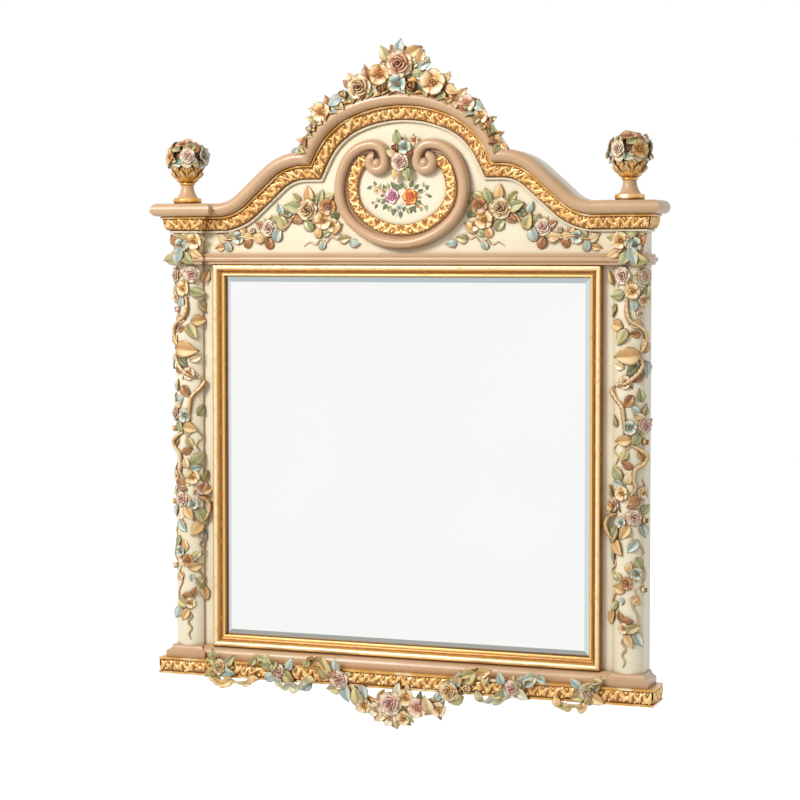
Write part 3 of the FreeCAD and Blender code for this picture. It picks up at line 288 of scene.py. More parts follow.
def rail_gilding():
    """Gilding of the frame round the glass, banded across its profile: painted shade in the groove and a
    painted highlight on the ridge, partly also the gilding's own darker and rubbed tones. The place
    across is the distance from the sight edge."""
    look = new_material("gilt rail")
    place = look.place()
    axes = look.axes(place)
    reach = []
    for axis, middle, half in (("X", 0.0, half_sight), ("Z", sight_middle, half_sight_height)):
        level = look.compute("SUBTRACT", axes[axis], middle * MM, clamp=False)
        size = look.compute("ABSOLUTE", level, clamp=False)
        reach.append(look.compute("SUBTRACT", size, half * MM))
    share = look.compute("DIVIDE", look.compute("MAXIMUM", *reach), sight_rail_width * MM)
    shaded_and_lit = look.ramp(share, *[(spot, linear(*tone)) for spot, tone in RAIL_SHADE_AND_HIGHLIGHT])
    rubbed = look.noise(place, 60.0, 5.0)
    colour = look.mix(look.ramp(rubbed, (0.5, 0.0), (0.72, 0.55)), shaded_and_lit, linear(214, 156, 74))
    # Painted shade in the hollows
    hollow_shade = look.compute("MULTIPLY", look.crevices(6.0, 0.85), 0.55)
    return look.finish(base_color=look.mix(hollow_shade, colour, GOLD_IN_SHADE), metallic=0.5,
                       roughness=look.ramp(rubbed, (0.3, 0.26), (0.75, 0.4)),
                       normal=look.bump(look.noise(place, 95.0, 3.0), 0.4, 0.25))


def finial_paint():
    """Tan neck between a gilt foot and a gilt collar, told apart by height."""
    look = new_material("finial paint")
    place = look.place()
    gold, hollow_shade, cloud = gilt_colour(look, place, 8.0)
    height = look.axes(place)["Z"]
    margin = 0.2
    above = look.compute("GREATER_THAN", height, (z_cornice + finial_foot + margin) * MM)
    below = look.compute("LESS_THAN", height, (z_cornice + finial_neck - margin) * MM)
    neck = look.compute("MULTIPLY", above, below)
    tanned = look.mix(look.ramp(cloud, (0.4, 0.0), (0.75, 0.5)), TAN, TAN_AGED)
    # Painted shade: the tan neck turns to the aged tan in its hollows
    tanned = look.mix(hollow_shade, tanned, TAN_AGED)
    return look.finish(base_color=look.mix(neck, gold, tanned),
                       metallic=look.ramp(neck, (0.0, 0.72), (1.0, 0.0)),
                       roughness=look.ramp(cloud, (0.3, 0.28), (0.75, 0.42)),
                       normal=look.bump(look.noise(place, 110.0, 3.0), 0.3, 0.3))


def silvering():
    """Mirror whose bevel is tinted by the slope of its facets, as a painted reflection: darkest where they
    face down, palest where they face sideways.
    """
    look = new_material("silvered glass")
    slope = look.axes(look.new("NewGeometry").outputs["True Normal"])
    # Painted reflection: the bevel's tint follows which way each of its facets faces
    upward = look.compute("MULTIPLY_ADD", slope["Z"], 6.0, 0.5, clamp=False)
    facet_reflection = look.ramp(upward, (0.2, linear(156, 158, 150)), (0.5, linear(212, 219, 220)),
                      (0.8, linear(180, 190, 194)))
    level = look.ramp(look.compute("MULTIPLY", slope["Y"], -1.0), (0.9955, 0.0), (0.9985, 1.0))
    silver = look.mix(level, facet_reflection, linear(249, 249, 248))
    haze = look.ramp(look.noise(look.place(), 1.6, 2.0), (0.3, 0.97), (0.7, 1.0))
    return look.finish(base_color=look.mix(1.0, silver, haze, "MULTIPLY"), metallic=1.0, roughness=0.02)


def timber(name, pale, dark):
    """Plain wood with upright grain and painted shade in its hollows."""
    look = new_material(name)
    place = look.new("Mapping", vector=look.place(), scale=(9.0, 9.0, 0.8)).outputs["Vector"]
    grain = look.noise(place, 6.0, 8.0, 0.65)
    colour = look.ramp(grain, (0.35, pale), (0.68, dark))
    # Painted shade: umber in the hollows
    return look.finish(base_color=look.mix(look.crevices(8.0), colour, UMBER), roughness=0.7,
                       normal=look.bump(grain, 0.4, 0.4))


def plated_steel():
    look = new_material("plated steel")
    spangle = look.noise(look.place(), 220.0, 3.0)
    colour = look.ramp(spangle, (0.3, linear(168, 168, 170)), (0.7, linear(206, 204, 198)))
    return look.finish(base_color=colour, metallic=0.9,
                       roughness=look.ramp(spangle, (0.3, 0.28), (0.7, 0.45)))


# The brown after each aged colour is the colour of painted shade in corners and hollows; the number after it
# sets that shade in wide corners
cream_finish = paint("cream paint", CREAM, CREAM_AGED, linear(138, 96, 50), 0.18, 0.42, 70.0)
tan_finish = paint("tan paint", TAN, TAN_AGED, linear(120, 72, 36), 0.2, 0.36, 90.0)
gilt = gilding("gilt", 10.0, 0.95, 0.4)
gilt_rail = rail_gilding()
gilt_bead = gilding("bright gilt", 3.0, 0.7, 0.1)
gilt_relief = polychrome("gilt relief", 0.5, 0.8, 4.2)
field_paint = polychrome("painted flowers", 0.0, 0.0)
carving_paint = polychrome("painted carving", 0.66, 0.0, 5.0)
finial_finish = finial_paint()
silvered = silvering()
back_board = timber("back board", linear(176, 138, 92), linear(138, 100, 62))
beech = timber("beech", linear(206, 168, 120), linear(176, 134, 88))
steel = plated_steel()

FINISHES = {"cream_paint": cream_finish, "tan_paint": tan_finish, "gilt": gilt,
            "polychrome": carving_paint, "mirror": silvered, "board": back_board, "raw_wood": beech,
            "steel": steel}
# Nodes with another finish than their slot's, by how their names begin
EXCEPTIONS = {"finial_stem": finial_finish, "sight_rail": gilt_rail, "cornice_leaf": gilt_bead,
              "crest_branch": gilt, "garland_swag": gilt}
# Material of the pieces made here, paired with the name of a material slot
CARVING = (carving_paint, "polychrome")
RELIEF = (gilt_relief, "gilt")


def dress_nodes():
    """Each CAD node takes the finish of its material slot, or the exception's."""
    for row in frame["record"]["subparts"]:
        finish = FINISHES[row["material_slot"]]
        for start, other in EXCEPTIONS.items():
            if row["node"].startswith(start):
                finish = other
        materials = frame["nodes"][row["node"]].data.materials
        materials.clear()
        materials.append(finish)


# Building blocks of the carving

class Mould:
    """Collects points, faces and a colour for each point, and makes a piece of them."""

    def __init__(self):
        self.points = []
        self.faces = []
        self.tints = []

    def add(self, points, faces, tints, place=Matrix.Identity(4)):
        start = len(self.points)
        self.points += [place @ point for point in points]
        self.faces += [tuple(start + i for i in face) for face in faces]
        self.tints += tints

    def mirrored(self):
        twin = Mould()
        twin.points = [Vector((-p.x, p.y, p.z)) for p in self.points]
        twin.faces = [face[::-1] for face in self.faces]
        twin.tints = list(self.tints)
        return twin

    def piece(self, name, material, slot, *nodes):
        """Makes the object, rides it on the frame and hides the CAD nodes that it stands for."""
        mesh = bpy.data.meshes.new(name)
        mesh.from_pydata([p * MM for p in self.points], [], self.faces)
        tint = mesh.color_attributes.new("tint", "FLOAT_COLOR", "POINT")
        tint.data.foreach_set("color", [c for colour in self.tints for c in colour])
        mesh.polygons.foreach_set("use_smooth", [True] * len(mesh.polygons))
        mesh.materials.append(material)
        made = bpy.data.objects.new(name, mesh)
        bpy.context.scene.collection.objects.link(made)
        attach(made, "root")
        if nodes:
            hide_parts(*nodes)

    def pair(self, name, finish, sides, node=""):
        """Makes the piece on the first side and its mirror image on the second."""
        for side, mould in zip(sides, (self, self.mirrored())):
            nodes = [f"{node}_{side}"] if node else []
            mould.piece(f"{name}_{side}", *finish, *nodes)


def blended(first, second, share):
    return tuple(a + (b - a) * share for a, b in zip(first, second))


def clamped(share):
    return min(1, max(0, share))


def dip(distance, width):
    """1 at a distance of nothing, fading smoothly over a width."""
    return exp(-(distance / width) ** 2)


def shift(x, y, z):
    return Matrix.Translation((x, y, z))


def spin(angle, axis="Z"):
    return Matrix.Rotation(radians(angle), 4, axis)


def turned(angle, height=0.0):
    return shift(0, 0, height) @ spin(angle)


def facing(position, angle=0.0, lean=0.0, tilt=0.0):
    """Frame of a carving that faces the front at a position, as (x, distance from the wall, z)."""
    x, out, z = position
    return shift(x, -out, z) @ spin(lean) @ spin(90, "X") @ spin(tilt, "X") @ spin(angle)


def sheet(count, width, cell, thickness):
    """Closed shell over a grid, with a point and a colour for each row and column: the grid, a copy set
    back by the thickness, and its rim."""
    grid = [[cell(i, j) for j in range(width)] for i in range(count)]
    rows = [[point for point, tint in row] for row in grid]
    front, back = [], []
    for i in range(count):
        for j in range(width):
            along = rows[min(i + 1, count - 1)][j] - rows[max(i - 1, 0)][j]
            across = rows[i][min(j + 1, width - 1)] - rows[i][max(j - 1, 0)]
            normal = along.cross(across)
            normal = normal.normalized() if normal.length > 1e-9 else Vector((0, 0, 1))
            front.append(rows[i][j])
            back.append(rows[i][j] - normal * thickness)
    faces = []
    size = count * width
    for i in range(count - 1):
        for j in range(width - 1):
            a, b = i * width + j, (i + 1) * width + j
            faces.append((a, b, b + 1, a + 1))
            faces.append((size + a, size + a + 1, size + b + 1, size + b))
    rim = list(range(width)) + [i * width + width - 1 for i in range(1, count)]
    rim += [(count - 1) * width + j for j in range(width - 2, -1, -1)]
    rim += [i * width for i in range(count - 2, 0, -1)]
    for a, b in zip(rim, rim[1:] + rim[:1]):
        faces.append((a, b, size + b, size + a))
    tints = [tint for row in grid for point, tint in row]
    return front + back, faces, tints + tints


def ball(radius, squash, tint, rings=5, sides=9):
    """Low dome or berry."""
    points = [Vector((0, 0, radius * squash))]
    for i in range(1, rings):
        turn = pi * i / rings
        reach = radius * sin(turn)
        for j in range(sides):
            angle = 2 * pi * j / sides
            z = radius * squash * cos(turn)
            points.append(Vector((reach * cos(angle), reach * sin(angle), z)))
    points.append(Vector((0, 0, -radius * squash)))
    last = len(points) - 1
    faces = []
    for j in range(sides):
        k = (j + 1) % sides
        faces.append((0, 1 + j, 1 + k))
        faces.append((last, last - sides + k, last - sides + j))
        for i in range(rings - 2):
            a, b = 1 + i * sides, 1 + (i + 1) * sides
            faces.append((a + j, b + j, b + k, a + k))
    return points, faces, [tint] * len(points)


def smooth_path(knots, step=3.0):
    """Points along a smooth curve through the knots."""
    path = []
    for i in range(len(knots) - 1):
        a, b, c, d = (Vector(knots[max(0, min(len(knots) - 1, k))]) for k in (i - 1, i, i + 1, i + 2))
        count = max(2, int((c - b).length / step))
        for k in range(count):
            t = k / count
            path.append(0.5 * ((2 * b) + (c - a) * t + (2 * a - 5 * b + 4 * c - d) * t ** 2
                               + (3 * b - a - 3 * c + d) * t ** 3))
    path.append(Vector(knots[-1]))
    return path


# Stem colours for painted shade and a painted highlight
STEM_SHADE_AND_HIGHLIGHT = (linear(110, 56, 14), linear(255, 240, 196))
PAINTED_LIGHT_FROM = Vector((-0.5, -0.8, 0.35)).normalized()     # direction of the painted light; the side of a stem that faces it gets the painted highlight
stem_gilding = 0.35


def tube(mould, path, radius, tints, sides=10):
    """Tapering knobbly stem along a path, with a painted highlight on the side towards the painted light
    and painted shade on the far side.
    """
    points, faces, shades = [], [], []
    count = len(path)
    for i, centre in enumerate(path):
        ahead = (path[min(i + 1, count - 1)] - path[max(i - 1, 0)]).normalized()
        side = ahead.cross(Vector((0, 1, 0))).normalized()
        up = side.cross(ahead)
        share = i / (count - 1)
        thick = radius * (1 - 0.3 * share) * (1 + 0.12 * sin(1.7 * i))
        thick *= min(1.0, 0.25 + 4 * min(share, 1 - share))
        for j in range(sides):
            angle = 2 * pi * j / sides
            spoke = side * cos(angle) + up * sin(angle)
            points.append(centre + spoke * thick)
            # Painted light: how much of the highlight colour a point takes
            lit = max(0, spoke.dot(PAINTED_LIGHT_FROM)) ** 2.6
            shades.append((*blended(*tints, lit), stem_gilding))
    for i in range(count - 1):
        for j in range(sides):
            k = (j + 1) % sides
            faces.append((i * sides + j, i * sides + k, (i + 1) * sides + k, (i + 1) * sides + j))
    faces.append(tuple(range(sides - 1, -1, -1)))
    faces.append(tuple((count - 1) * sides + j for j in range(sides)))
    mould.add(points, faces, shades)


# Tables are lines of words, a colon, and entries between commas.

def table(text):
    for line in text.strip().splitlines():
        words, entries = line.split(":")
        yield words.split(), [entry.split() for entry in entries.split(",")]


def carvings(text):
    """A kind, then its carvings: places, a radius (a length for a leaf), an angle and a paint."""
    return [(kind, *map(float, numbers), paint_name)
            for (kind,), entries in table(text) for *numbers, paint_name in entries]


def courses(text):
    """Words, then the numbers of each entry: the points of a line, or colours."""
    return [(words, [tuple(map(float, entry)) for entry in entries]) for words, entries in table(text)]


def palette(text):
    return {name: [linear(*tone) for tone in tones] for (name,), tones in courses(text)}


# Flowers and leaves

# Paint of the flowers: heart, petal and edge
PETALS = palette("""
    pink: 168 60 62, 232 158 148, 252 236 220
    rosy: 184 92 86, 238 188 174, 252 240 224
    peach: 138 74 36, 208 148 106, 246 220 184
    cream: 160 86 28, 236 208 158, 251 240 214
    yellow: 150 72 12, 244 204 132, 254 242 210
    orange: 138 62 14, 222 154 80, 250 224 172
    blue: 32 90 102, 136 186 188, 240 242 226
    white: 200 168 110, 240 231 206, 251 246 229
    brown: 92 40 12, 160 92 38, 214 158 90
    gold: 148 84 24, 212 154 76, 246 214 148
    dusky: 112 40 30, 192 114 86, 236 194 150
    mocha: 88 36 8, 192 126 64, 246 220 172
    amber: 172 82 12, 236 164 62, 253 232 184
    gilt: 112 58 16, 206 142 62, 255 232 172
    mauve: 150 44 104, 206 130 172, 246 226 232
    flame: 206 62 10, 238 116 28, 252 186 84
""")
# Paint of the leaves: the half in painted shade and the half that is painted lit
LEAVES = palette("""
    green: 84 98 48, 214 216 162
    olive: 108 100 40, 234 222 160
    dark: 48 64 36, 122 136 82
    blue: 96 138 144, 216 230 222
    gold: 190 118 44, 253 228 170
    brown: 94 46 14, 198 132 62
    cream: 198 152 90, 251 237 203
    white: 188 190 166, 249 244 224
""")
petal_thickness = 1.3
leaf_thickness = 1.5


def petal(length, width, rise, curl, cup, paint_set, notch=0.0):
    """Petal along +X from the origin: narrow foot, rounded end, edges raised by cup."""
    heart, body, edge = paint_set
    steps = 6
    widest = 0.6

    def cell(i, j):
        s = 0.06 + 0.94 * i / steps
        t = -1 + j / (steps / 2)
        if s < widest:
            half = width / 2 * (0.28 + 0.72 * sin(pi / 2 * s / widest))
        else:
            half = width / 2 * sqrt(1 - ((s - widest) / 0.425) ** 2)
        x = length * (s - 0.12 * t * t * s * s - notch * dip(t, 0.3) * s ** 6)
        z = length * (rise * s - curl * s ** 3 + cup * t * t * s)
        shade = blended(blended(heart, body, clamped((s - 0.16) / 0.34)), edge, clamped((s - 0.5) / 0.26))
        shade = blended(shade, heart, 0.45 * dip(t, 0.2) * (1 - s))
        rim = s > 0.99 or abs(t) > 0.99
        tint = (*blended(shade, GILT_EDGE, 0.4), 0.35) if rim else (*shade, 0.0)
        return Vector((x, half * t, z)), tint

    return sheet(steps + 1, steps + 1, cell, petal_thickness)


def blossom(mould, radius, colour, place):
    """Open flower: petals in two layers round a heart of stamens."""
    paint_set = PETALS[colour]
    wobble = rng.uniform(0, 72)
    for i in range(5):
        shape = petal(radius, radius * 1.18, 0.34 + 0.05 * (i % 2), 0.16, 0.1, paint_set, 0.08)
        mould.add(*shape, place @ turned(72 * i + wobble, radius * 0.1 * (i % 2)))
    heart = (*blended(paint_set[0], UMBER, 0.25), 0.0)
    mould.add(*ball(radius * 0.24, 0.8, heart), place @ shift(0, 0, radius * 0.2))
    stamen_reach = radius * 0.21
    for i in range(6):
        angle = radians(60 * i + wobble)
        spot = shift(stamen_reach * cos(angle), stamen_reach * sin(angle), radius * 0.37)
        mould.add(*ball(radius * 0.085, 1.0, (*GOLD, 1.0), 4, 6), place @ spot)
    mould.add(*ball(radius * 0.5, 0.55, (*paint_set[1], 0.0)), place @ shift(0, 0, -radius * 0.04))


def whorl_petal(inner, outer, height, span, lip, paint_set, depth):
    """Cupped rose petal that stands round the axis: span is its angle, lip its rolled edge."""
    heart, body, edge = paint_set
    steps_up = 5
    steps_round = 7

    def cell(i, j):
        s = i / steps_up
        t = -1 + 2 * (steps_round - j) / steps_round
        reach = inner + (outer - inner) * s ** 0.8 + lip * s ** 5
        reach *= 1 + 0.1 * t
        angle = radians(span / 2 * t * (0.72 + 0.28 * sin(pi * min(1, s + 0.25))))
        droop = 1 - 0.22 * t ** 4
        z = height * (s ** 0.9) * droop - lip * 0.8 * s ** 7
        shade = blended(blended(heart, body, depth), edge, s ** 3 * 0.75)
        # Darker towards the foot of the petal: painted shade deep between the petals
        tint = (*blended(UMBER, shade, min(1, 0.74 + 0.6 * s)), 0.0)
        return Vector((reach * cos(angle), reach * sin(angle), z)), tint

    return sheet(steps_up + 1, steps_round + 1, cell, petal_thickness)


# Rings of cupped petals in a rose: count, inner and outer radius, height, angle, lip, share of petal paint
ROSE_RINGS = [(4, 0.3, 0.56, 0.42, 116, 0.1, 0.8), (3, 0.17, 0.38, 0.54, 146, 0.08, 0.4),
              (2, 0.06, 0.2, 0.6, 190, 0.05, 0.0)]


def rose(mould, radius, colour, place):
    """Full rose: broad open petals round rings of cupped petals that close on a bud."""
    heart, body, edge = PETALS[colour]
    open_paint = (body, edge, blended(edge, PETALS["white"][2], 0.6))
    wobble = rng.uniform(0, 72)
    for i in range(5):
        shape = petal(radius, radius * 1.2, 0.2, 0.16, 0.14, open_paint, 0.04)
        mould.add(*shape, place @ turned(72 * i + wobble, radius * (0.05 + 0.07 * (i % 2))))
    for ring, (count, inner, outer, height, span, lip, depth) in enumerate(ROSE_RINGS):
        for i in range(count):
            shape = whorl_petal(inner * radius, outer * radius, height * radius, span, lip * radius,
                                PETALS[colour], depth)
            mould.add(*shape, place @ turned(360 / count * i + 41 * ring + wobble, 0.03 * radius * (i % 2)))
    mould.add(*ball(radius * 0.13, 1.3, (*heart, 0.0)), place @ shift(0, 0, radius * 0.5))
    mould.add(*ball(radius * 0.72, 0.42, (*body, 0.0), 6, 12), place @ shift(0, 0, 0.02 * radius))


def leaf(mould, length, colour, place):
    """Pointed leaf centred on the origin: its halves rise from a sunk rib, one in painted shade and one
    painted lit.
    """
    shaded, lit = LEAVES[colour]
    twist = rng.uniform(-0.16, 0.16)
    tip = rng.uniform(-0.08, 0.1)
    bend = rng.uniform(-0.2, 0.2)
    dark_side = rng.choice((-1, 1))
    steps_along = 10
    steps_across = 8

    def cell(i, j):
        s = i / steps_along
        t = -1 + j / (steps_across / 2)
        half = 0.31 * length * (sin(pi * s ** 0.74) ** 0.95 + 0.04)
        half *= 1 + 0.06 * cos(9 * pi * s)
        vein = 0.012 * cos(14 * pi * (s - 0.25 * abs(t))) * abs(t)
        z = 0.02 + 0.07 * sin(pi * s) + tip * s ** 3 + twist * t * s + vein
        z += 0.13 * abs(t) ** 1.3 * sin(pi * s) ** 0.5 - 0.05 * t ** 4
        # Painted light: one half lit and the other shaded, with painted shade in the crease of the rib
        tone = 0.62 + 0.42 * s if t * dark_side >= 0 else 0.2 + 0.35 * abs(t)
        shade = blended(shaded, lit, min(1, tone))
        shade = blended(shade, shaded, 0.7 * dip(t, 0.14))
        shade = blended(shade, UMBER, 0.5 * dip(s, 0.2))
        rim = abs(t) > 0.97 or i in (0, steps_along)
        tint = (*blended(shade, UMBER, 0.75), 0.4) if rim else (*shade, 0.0)
        return Vector((length * (s - 0.5), half * t + length * bend * (s * s - 0.3), length * z)), tint

    mould.add(*sheet(steps_along + 1, steps_across + 1, cell, leaf_thickness), place)


def bud(mould, radius, colour, place):
    """Half-open bud: wrapped petals on a green cup."""
    paint_set = PETALS[colour]
    for i in range(3):
        shape = whorl_petal(0.62 * radius, 0.9 * radius, 1.0 * radius, 150, -0.25 * radius, paint_set, 0.8)
        mould.add(*shape, place @ turned(120 * i))
    core = (*blended(paint_set[0], paint_set[1], 0.4), 0.0)
    mould.add(*ball(radius * 0.66, 1.25, core), place @ shift(0, 0, 0.35 * radius))
    mould.add(*ball(radius * 0.9, 0.4, (*LEAVES["olive"][0], 0.0)), place)


CARVERS = {"rose": rose, "blossom": blossom, "leaf": leaf, "bud": bud}
# The carvings spread beyond the plain solids of the CAD model by these shares
SPREAD = {"rose": 1.24, "blossom": 1.22, "leaf": 1.14, "bud": 1.15}
FOLIAGE = ["green", "olive", "blue", "gold", "brown", "dark", "cream", "green"]
under_leaves = 3         # small leaves that look out from under a flower
seat = 1.0               # carvings are sunk by this into what carries them


def carve(mould, kind, size, paint_name, place):
    """Carving with, under a flower, small leaves that look out between its neighbours."""
    size *= SPREAD[kind]
    CARVERS[kind](mould, size, paint_name, place)
    if kind in ("rose", "blossom"):
        start = rng.uniform(0, 360)
        for i in range(under_leaves):
            angle = start + 360 / under_leaves * i + rng.uniform(-30, 30)
            under = turned(angle, -0.12 * size) @ shift(size * 0.9, 0, 0)
            leaf(mould, size * rng.uniform(0.95, 1.25), rng.choice(FOLIAGE), place @ under)


# Vines on the pilasters: across from the pilaster's axis towards the glass, and down from the top of the
# shaft. Their stems begin with a radius.
VINE = carvings("""
    rose: 13 23 17 0 pink, -31 25 15 20 rosy
    blossom: -8 57 15 10 yellow, -30 78 12 0 cream
    bud: -22 106 8 0 rosy
    blossom: 6 257 13 40 cream
    rose: -33 352 15 0 pink
    blossom: -4 357 14 0 blue, 13 501 15 20 yellow, 30 527 14 0 rosy
    rose: -13 554 15 10 pink
    blossom: 14 566 11 50 blue
    bud: -33 561 8 0 gold, -33 388 8 0 gold
    blossom: -18 678 12 0 blue, 2 700 12 30 brown
    bud: -32 714 8 0 cream
    leaf: 24 66 34 -20 green, 42 28 30 70 gold, -12 90 26 -80 blue, -16 130 28 10 cream, 27 132 36 5 gold
    leaf: 13 158 38 -70 olive, -14 152 24 -10 brown, 1 200 56 -8 gold, -8 230 30 -52 dark
    leaf: -36 228 34 -100 blue, -20 248 26 -35 brown, -2 300 32 -58 brown, -16 318 26 30 blue
    leaf: -24 332 24 200 cream, -17 384 32 -60 green, 9 386 36 -8 gold, 24 457 38 38 green
    leaf: -2 468 28 105 cream, 22 481 28 0 blue, -13 520 34 -20 brown, 44 532 30 15 gold
    leaf: -34 536 28 130 green, 5 588 34 -68 gold, -32 584 30 250 blue, 31 596 42 -62 green
    leaf: 22 622 40 228 gold, 33 644 28 250 blue, -12 618 32 -62 blue, 20 714 32 22 gold
    leaf: 12 741 18 -80 blue, 36 778 32 -78 gold, 0 784 26 170 brown, 15 774 22 60 brown
    leaf: 34 100 30 -60 olive, -34 60 28 120 green, -2 40 26 80 gold, -32 178 30 100 gold
    leaf: 20 222 26 30 cream, -26 286 28 80 green, -34 318 26 110 olive, 30 344 28 60 green
    leaf: -30 420 28 240 gold, 8 420 26 -60 olive
    blossom: -30 500 11 0 cream
    leaf: 2 440 26 40 brown, 40 500 26 70 olive, -24 656 28 250 green, -4 664 24 100 gold
    leaf: 22 686 26 50 olive, -18 740 26 240 gold, 28 752 26 -40 green
    blossom: 8 800 11 0 cream
    leaf: -12 800 32 150 olive, -22 824 32 235 blue, -4 828 30 255 gold
""")
VINE_STEMS = courses("""
    6: 2 74, 3 100, -4 122, -30 140, -38 156, -34 178, -22 198
    6: 32 266, 41 276, 30 294, 14 312, 9 340, 6 364
    6: -8 396, -24 404, -40 418, -34 436, -18 448, -14 472, -18 490, -6 508
    6: 26 548, 46 556, 54 574, 46 596, 36 606
    6: -22 198, -30 222, -14 246, 8 262, 28 268
    2.5: -6 596, -24 612, -34 632, -28 650, -36 668, -38 688, -30 704, -16 716
    2.5: 12 712, 28 726, 36 744, 30 758, 38 772, 34 786
    2.5: -14 712, -22 730, -12 748, -22 768, -24 788, -16 806, -4 814
    2.5: 4 818, 12 832, 2 846, 11 860, 4 874, 10 888
    2.5: 4 366, 16 384, 4 404, -10 398
    2.5: 20 624, 36 640, 28 660, 38 676, 30 690
    2.5: 30 440, 22 424, 34 408, 24 394
    2.5: -30 470, -36 486, -28 504, -36 520
""")


def pilaster_surface(across):
    """Distance from the wall and lean of the bowed front, across from the pilaster's axis."""
    half = pilaster_width / 2
    radius = (half ** 2 + pilaster_bow ** 2) / (2 * pilaster_bow)
    held = max(-half, min(half, across))
    return pilaster_out - radius + sqrt(radius ** 2 - held ** 2), degrees(asin(held / radius))


def stems(mould, lines, proud, place):
    """Stems along lines of knots, with their axis proud by a share of their radius. Place gives a point
    in space for a knot and a distance from what carries it."""
    for (thickness,), knots in lines:
        radius = float(thickness)
        line = [place(a, b, proud * radius) for a, b in knots]
        tube(mould, smooth_path(line), radius, STEM_SHADE_AND_HIGHLIGHT)


def vines():
    def on_shaft(across, down, above):
        out, lean = pilaster_surface(across)
        return -block_x + across, -out - above, z_architrave - down

    mould = Mould()
    for kind, across, down, size, angle, paint_name in VINE:
        out, lean = pilaster_surface(across)
        spot = (-block_x + across, out - seat, z_architrave - down)
        carve(mould, kind, size, paint_name, facing(spot, angle, lean))
    stems(mould, VINE_STEMS, 0.6, on_shaft)
    mould.pair("vine_carving", CARVING, ("left", "right"), "vine")


# Sprays on the frieze: across from the middle, and up from the frieze's lower edge
SPRAY = carvings("""
    rose: 234 102 21 0 mocha
    blossom: 194 78 19 20 yellow, 183 108 17 0 brown
    rose: 332 60 17 10 rosy
    blossom: 410 38 13 0 blue
    leaf: 230 138 34 92 gold, 268 108 40 172 green, 302 104 24 100 blue, 202 132 30 80 green
    leaf: 180 131 28 45 olive, 258 80 28 215 brown, 232 66 32 115 green, 352 66 26 160 brown
    leaf: 297 73 38 118 olive, 309 46 36 62 blue, 330 26 30 88 brown, 358 38 34 175 gold
    leaf: 387 40 28 170 gold, 384 24 24 30 brown, 434 18 26 105 blue, 450 36 28 160 cream
    leaf: 456 14 22 190 gold, 164 60 34 30 gold, 186 48 26 20 green, 142 34 28 12 olive, 117 25 26 -8 blue
    leaf: 196 21 24 75 blue
    blossom: 170 66 14 0 cream
    leaf: 206 50 28 60 gold, 216 122 24 40 dark, 262 128 26 140 olive, 284 92 26 200 dark
    leaf: 318 78 24 120 green, 344 44 26 215 olive, 424 46 24 40 green, 398 56 22 130 gold
    bud: 372 54 7 0 cream
    leaf: 168 92 28 110 dark
""")
SPRAY_STEMS = courses("""
    3.4: 258 92, 272 84, 284 66, 302 56, 322 44
    3.4: 340 46, 372 36, 400 40, 428 34, 452 34
    1.9: 276 100, 288 88, 298 94, 310 82, 322 89, 334 79, 346 84
    1.9: 150 46, 162 33, 174 39, 188 26, 202 33, 214 21, 228 27, 244 17
""")


def sprays():
    def on_frieze(across, up, above):
        return across, -carcass_out - above, z_frieze + up

    mould = Mould()
    for kind, across, up, size, angle, paint_name in SPRAY:
        carve(mould, kind, size, paint_name, facing((across, carcass_out, z_frieze + up), 180 - angle))
    stems(mould, SPRAY_STEMS, 0.5, on_frieze)
    mould.pair("spray_carving", CARVING, ("right", "left"), "spray")


# Cluster on each block above the capitals: across from the block's axis towards the glass, and up
CAPITAL = carvings("""
    blossom: 20 30 17 0 yellow, -12 21 15 30 blue
    leaf: -30 32 30 120 brown, -6 45 30 160 olive, 0 20 26 -70 blue, -22 14 24 240 cream, 24 8 24 -40 gold
    bud: 2 36 7 0 cream
""")
# Leaves that hang from the cluster over the architrave, with a third place: out from the block
DRAPED = carvings("""
    leaf: -26 -12 13 52 200 olive, -14 -4 16 44 250 blue, 8 -10 13 40 300 green, 32 0 13 34 320 gold
""")
drape_tilt = 8.0


def capitals():
    mould = Mould()
    for kind, across, up, size, angle, paint_name in CAPITAL:
        carve(mould, kind, size, paint_name, facing((-block_x + across, block_out, z_frieze + up), angle))
    for kind, across, up, out, size, angle, paint_name in DRAPED:
        spot = (-block_x + across, block_out + out, z_frieze + up)
        leaf(mould, size, paint_name, facing(spot, angle, 0, drape_tilt))
    mould.pair("capital_carving", CARVING, ("left", "right"), "capital")


# Garland: across from the middle, and up from the base bar's lower edge
GARLAND = carvings("""
    rose: -12 -32 24 0 pink
    blossom: 24 -16 17 0 yellow, 53 -37 20 20 rosy, -49 -48 14 0 white, -77 -42 15 20 yellow
    rose: -138 13 19 0 pink, 127 5 19 0 amber
    blossom: 104 -38 15 0 cream
    rose: -289 22 15 0 pink, 277 20 17 0 pink, -438 24 16 0 amber, 447 25 15 0 rosy
    blossom: -14 -66 15 0 white, 19 -64 14 40 yellow
    leaf: 3 -78 22 270 olive
    bud: 172 14 10 0 yellow
    leaf: 4 0 30 80 white, -35 -16 26 60 gold, -94 -22 46 100 olive, -78 -14 36 -70 blue
    leaf: -36 -64 30 215 cream, 34 -60 28 -40 green, 78 -30 40 100 cream, 103 -8 26 30 blue
    leaf: 144 -14 36 205 olive, 149 33 34 84 blue, -147 44 34 88 blue, -121 -17 36 -75 blue
    leaf: -150 -8 36 200 olive, -174 40 50 125 olive, 176 42 50 40 olive, -206 52 34 190 brown
    leaf: 208 50 36 10 gold, -222 -8 34 215 blue, -264 8 40 -40 olive, -322 44 44 150 green
    leaf: -308 10 34 30 blue, -262 40 30 60 blue, 318 42 42 30 blue, 300 8 34 -30 white
    leaf: 252 6 34 215 olive, 250 42 30 120 blue, -456 46 34 110 green, -418 12 34 -20 blue
    leaf: -462 10 32 200 olive, -414 40 30 40 green, 470 44 36 60 green, 428 12 32 200 olive
    leaf: 472 10 34 -20 gold, 424 42 30 130 blue
""")
